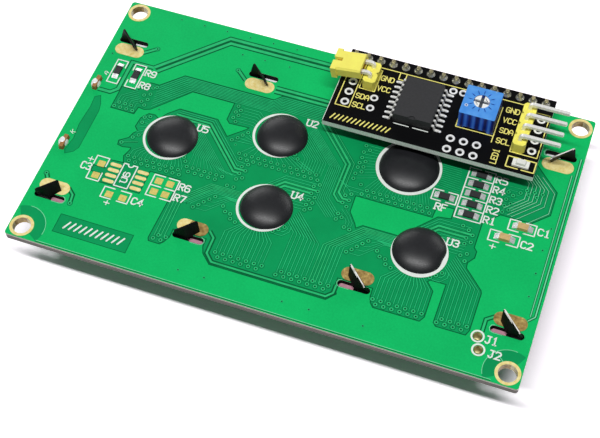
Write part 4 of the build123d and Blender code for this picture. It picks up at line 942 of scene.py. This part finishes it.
# Bezel with its twisted tabs: each one comes up through the outer half of its slot and turns in over the land
shell = nodes["bezel"].data.copy()
work = bmesh.new()
work.from_mesh(shell)
bmesh.ops.remove_doubles(work, verts=work.verts, dist=1e-6)
above = [f for f in work.faces if max(v.co.z for v in f.verts) > (BOARD_FRONT + 0.01) * MM]
bmesh.ops.delete(work, geom=above, context="FACES")
bmesh.ops.holes_fill(work, edges=[e for e in work.edges if e.is_boundary], sides=0)
work.to_mesh(shell)
work.free()
bezel_shell = bpy.data.objects.new("bezel_frame", shell)
bezel_shell.matrix_world = nodes["bezel"].matrix_world.copy()
bpy.context.scene.collection.objects.link(bezel_shell)
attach(bezel_shell, "module")
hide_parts("bezel")

TAB_PLACES = [(x, y) for x in TAB_X_PLACES for y in (-TAB_Y, TAB_Y)]
TAB_HALF = 0.2
SHEARED_HALF = 0.1
TAB_BEND = 0.54
LONG_REACH = 0.15
FOOT = (Vector((2.85, 0.0, 0.0)), Vector((0.05, 0.0, 0.0)), Vector((-1.5, 1.95, 0.14)))
TOP = (Vector((2.2, -0.78, 2.6)), Vector((-1.1, 2.52, 2.6)))
LONG_TABS = ((-44.4, TAB_Y), (-16.1, TAB_Y), (44.4, TAB_Y), (16.1, -TAB_Y), (44.4, -TAB_Y))


def tab_surface(u, v, reach):
    """Middle of the sheet: u runs from its outer side inwards, v from the slot to the sheared end."""
    if u < TAB_BEND:
        foot = FOOT[0].lerp(FOOT[1], u / TAB_BEND)
    else:
        foot = FOOT[1].lerp(FOOT[2], (u - TAB_BEND) / (1 - TAB_BEND))
    top = TOP[0].lerp(TOP[1], u * (1 + reach))
    top.z -= 0.22 * max(0.0, (abs(2 * u - 1) - 0.86) / 0.14)
    return foot.lerp(top, v)


def bezel_tab(points, faces, x, y, columns=14, rows=8):
    """Adds one twisted tab, and its neck in the slot down to the wall that it is part of."""
    sx, sy = math.copysign(1, x), math.copysign(1, y)
    levels = [min(1.0, k / (rows - 0.6)) for k in range(rows + 1)]
    reach = LONG_REACH if (x, y) in LONG_TABS else 0.0
    start = len(points)
    for side in (-1, 1):
        for v in levels:
            for k in range(columns + 1):
                u = k / columns
                here = tab_surface(u, v, reach)
                along = tab_surface(min(1, u + 0.04), v, reach) - tab_surface(max(0, u - 0.04), v, reach)
                half = TAB_HALF if v < 1 else SHEARED_HALF
                q = here + Vector((-along.y, along.x, 0)).normalized() * half * side
                points.append((x + sx * q.x, y - sy * q.y, BOARD_BACK + q.z))

    def at(layer, row, column):
        return start + (layer * (rows + 1) + row) * (columns + 1) + column

    for r in range(rows):
        for c in range(columns):
            faces.append((at(0, r, c), at(0, r, c + 1), at(0, r + 1, c + 1), at(0, r + 1, c)))
            faces.append((at(1, r, c), at(1, r + 1, c), at(1, r + 1, c + 1), at(1, r, c + 1)))
        for c in (0, columns):
            faces.append((at(0, r, c), at(0, r + 1, c), at(1, r + 1, c), at(1, r, c)))
    for r in (0, rows):
        for c in range(columns):
            faces.append((at(0, r, c), at(1, r, c), at(1, r, c + 1), at(0, r, c + 1)))
    neck = [(0.05, -TAB_HALF), (2.85, -TAB_HALF), (2.85, TAB_HALF), (0.05, TAB_HALF)]
    prism(points, faces, [(x + sx * a, y - sy * b) for a, b in neck], BOARD_FRONT - 0.04, BOARD_BACK + 0.02)


points, faces = [], []
for x, y in TAB_PLACES:
    bezel_tab(points, faces, x, y)
solid("bezel_tabs", points, faces, mats["bezel_paint"], "bezel")
mesh = bpy.data.objects["bezel_tabs"].data
work = bmesh.new()
work.from_mesh(mesh)
bmesh.ops.recalc_face_normals(work, faces=work.faces)
work.to_mesh(mesh)
work.free()

# Walls of the slots, dark with painted shade, and what shows at the bottom of their open halves
WALL_FOOT = BOARD_FRONT + 0.05
WALL_TOP = BOARD_BACK - 0.02
points, faces = [], []
for x, y in TAB_PLACES:
    start = len(points)
    outer, inner = pill(x, y, 6.16, 1.36), pill(x, y, 6.1, 1.3)
    count = len(outer)
    for outline, z in ((outer, WALL_FOOT), (outer, WALL_TOP), (inner, WALL_TOP), (inner, WALL_FOOT)):
        points += [(px, py, z) for px, py in outline]
    for j in range(4):
        a, b = start + j * count, start + ((j + 1) % 4) * count
        faces += [(a + k, a + (k + 1) % count, b + (k + 1) % count, b + k) for k in range(count)]
solid("slot_walls", points, faces, mats["shade"])
for name, row, top, material, slot in (("slot_edge_front", -1, 10.1, "slot_pink", "pink_silicone"),
                                       ("slot_edge_back", 1, 9.95, "slot_white", "white_tray")):
    points, faces = [], []
    for x, y in TAB_PLACES:
        if y * row > 0:
            sx = math.copysign(1, x)
            outline = [(-2.85, -0.3), (-2.5, -0.6), (-0.1, -0.6), (-0.1, 0.6), (-2.5, 0.6), (-2.85, 0.3)]
            prism(points, faces, [(x + sx * a, y + b) for a, b in outline], top - 0.15, top)
    solid(name, points, faces, mats[material], smooth=False)

# Plated walls of the mounting holes, joints of the jumpers and of the 16 pins
points, faces = [], []
barrel = sleeve(MOUNT_HOLE - 0.05, MOUNT_HOLE - 0.001, BOARD_FRONT + 0.02, BOARD_BACK)
for x, y in MOUNTS:
    tube(points, faces, x, y, barrel, 64)
solid("mount_hole_barrels", points, faces, mats["barrel"])

DROP = ((0, 0), (0.84, 0), (0.8, 0.1), (0.5, 0.24), (0, 0.3))
points, faces = [], []
for x, y in JUMPERS:
    tube(points, faces, x, y, [(r, BOARD_BACK + z) for r, z in DROP], 28)
solid("jumper_solder_smooth", points, faces, mats["dull_solder"], "jumper_solder")

JOINT = ((0.3, 0), (0.84, 0), (0.82, 0.06), (0.66, 0.2), (0.52, 0.42), (0.46, 0.7), (0.42, 0.88), (0.3, 0.86))
HEADER_X, HEADER_Y = middle_of("header_pins")
points, faces = [], []
for k in range(16):
    profile = [(r, ADAPTER_TOP + z) for r, z in JOINT]
    tube(points, faces, HEADER_X + PIN_PITCH * (k - 7.5), HEADER_Y, profile, 20)
solid("adapter_pin_solder_smooth", points, faces, mats["joint"], "adapter_pin_solder")

# Solder round the expander's leads, where the pads reach past them
points, faces = [], []
for side in (-1, 1):
    for k in range(8):
        pad = pill(EXPANDER_X + side * 5.05, EXPANDER_Y + LEAD_PITCH * (k - 3.5), 1.5, 0.46, 0.2, 3)
        prism(points, faces, pad, ADAPTER_TOP, ADAPTER_TOP + 0.12)
solid("expander_pad_solder", points, faces, mats["bright_solder"])

# Solder over the two backlight terminals
TERMINAL_X = -47.35
DROP_HEIGHT = 1.0
DROP_HALF_X = 0.95
DROP_HALF_Y = 1.15
points, faces = [], []
for y in (7.6, -7.6):
    start, sides = len(points), 28
    for share, lift in ((1.0, 0.0), (0.92, 0.4), (0.72, 0.78), (0.4, 0.96)):
        for k in range(sides):
            a = 2 * math.pi * k / sides
            wave = 1 + 0.06 * math.cos(3 * a)
            points.append((TERMINAL_X + DROP_HALF_X * share * math.cos(a),
                           y + DROP_HALF_Y * share * math.sin(a) * wave, BOARD_BACK + DROP_HEIGHT * lift))
    points.append((TERMINAL_X, y, BOARD_BACK + DROP_HEIGHT))
    for r in range(3):
        a, b = start + r * sides, start + (r + 1) * sides
        faces += [(a + k, a + (k + 1) % sides, b + (k + 1) % sides, b + k) for k in range(sides)]
    last = start + 3 * sides
    faces += [(last + k, last + (k + 1) % sides, start + 4 * sides) for k in range(sides)]
    faces.append([start + k for k in reversed(range(sides))])
solid("terminal_solder_smooth", points, faces, mats["bright_solder"], "terminal_solder")

# Painted shade in the radial ticks and the dimple on the trimmer's roof, a painted highlight round the
# dimple, and small marks and painted shade in its rotor
DIMPLE = (25.2, 19.2)
CROSS_REACH = 1.2
# Painted shade in the radial ticks and in the dimple
marks = Layer("trimmer_tick_shade", HOUSING_TOP + 0.005, mats["blue_ink"], slot="blue_plastic")
for k in range(12):
    a = math.radians(30 * k)
    marks.band([(TRIMMER_X + r * math.cos(a), TRIMMER_Y + r * math.sin(a)) for r in (1.7, 2.4)], 0.13)
marks.disc(DIMPLE, 0.2, 14)
marks.make()
# White ring of painted highlight round the dimple
spot = Layer("trimmer_dimple_highlight", HOUSING_TOP + 0.005, mats["legend"], slot="blue_plastic")
spot.ring(DIMPLE, 0.2, 0.32, 16)
spot.make()
dots = Layer("rotor_marks", ROTOR_TOP + 0.01, mats["dark_ink"], "trimmer_wheel", "white_rotor")
for x, y in ((0.75, 0.6), (0.95, 0.4), (-0.7, -0.8), (-0.95, -0.55), (0.6, 0.85)):
    dots.disc((TRIMMER_X + x, TRIMMER_Y + y), 0.11, 8)
dots.make()
cross = Layer("rotor_slot_shade", ROTOR_TOP - 0.34, mats["grey"], "trimmer_wheel", "white_rotor")
cross.band([(TRIMMER_X - CROSS_REACH, TRIMMER_Y), (TRIMMER_X + CROSS_REACH, TRIMMER_Y)], 0.56)
cross.band([(TRIMMER_X, TRIMMER_Y - CROSS_REACH), (TRIMMER_X, TRIMMER_Y + CROSS_REACH)], 0.56)
cross.make()


# Floor, light and camera

def area_light(name, direction, distance, size, power):
    light = bpy.data.lights.new(name, "AREA")
    light.shape = "RECTANGLE"
    light.size, light.size_y = size
    light.energy = power
    obj = bpy.data.objects.new(name, light)
    bpy.context.scene.collection.objects.link(obj)
    way = Vector(direction).normalized()
    obj.location = way * distance
    obj.rotation_mode = "QUATERNION"
    obj.rotation_quaternion = (-way).to_track_quat("-Z", "Y")


# The floor is white to the camera and grey to the light that it sends back
FLOOR_HALF = 3000
corners = [(x * FLOOR_HALF, y * FLOOR_HALF, 0) for x, y in ((-1, -1), (1, -1), (1, 1), (-1, 1))]
paper = Nodes("floor_paper", 0.9, 0.0, 0.1)
path = paper.add("ShaderNodeLightPath")
seen = paper.math("MAXIMUM", path.outputs["Is Camera Ray"],
                  paper.math("MAXIMUM", path.outputs["Is Glossy Ray"], path.outputs["Is Transmission Ray"]))
paper_tone = paper.tones(paper.noise(20.0), (0.34, 0.33, 0.34, 1), (0.36, 0.35, 0.36, 1))
sheet = paper.add("ShaderNodeBsdfDiffuse")
paper.link(paper.mix(seen, paper_tone, (1.5, 1.42, 1.5, 1)), sheet.inputs["Color"])
output = next(n for n in paper.tree.nodes if n.type == "OUTPUT_MATERIAL")
paper.link(sheet.outputs[0], output.inputs["Surface"])
floor = piece("floor", corners, [(0, 1, 2, 3)], paper.material)

world = bpy.data.worlds.new("studio")
bpy.context.scene.world = world
world.use_nodes = True
background = world.node_tree.nodes["Background"]
background.inputs["Color"].default_value = (0.94, 0.97, 1.0, 1)
background.inputs["Strength"].default_value = 0.09
area_light("soft_left", (-0.55, 0.75, 0.36), 0.7, (0.4, 0.3), 0.9)
area_light("soft_back", (0.4, 0.8, 0.36), 0.7, (0.4, 0.3), 0.9)
area_light("front_glint", (-0.22, -0.71, 0.67), 0.9, (0.25, 0.12), 0.12)
area_light("key", (0.0, -0.25, 1.0), 0.9, (0.8, 0.06), 6.7)

camera_data = bpy.data.cameras.new("camera")
camera_data.lens = 76.79
camera_data.sensor_width = 36.0
camera_data.clip_start = 0.01
camera = bpy.data.objects.new("camera", camera_data)
bpy.context.scene.collection.objects.link(camera)
turn_x, turn_y, turn_z = (Matrix.Rotation(math.radians(a), 3, n)
                          for a, n in ((149.48141, "X"), (11.47518, "Y"), (16.14098, "Z")))
aim = (turn_z @ turn_y @ turn_x).transposed() @ Matrix.Diagonal((1, -1, -1))
camera.matrix_world = Matrix.Translation((0.049404, -0.127754, 0.211813)) @ aim.to_4x4()
bpy.context.scene.camera = camera
bpy.context.scene.view_settings.view_transform = "Standard"
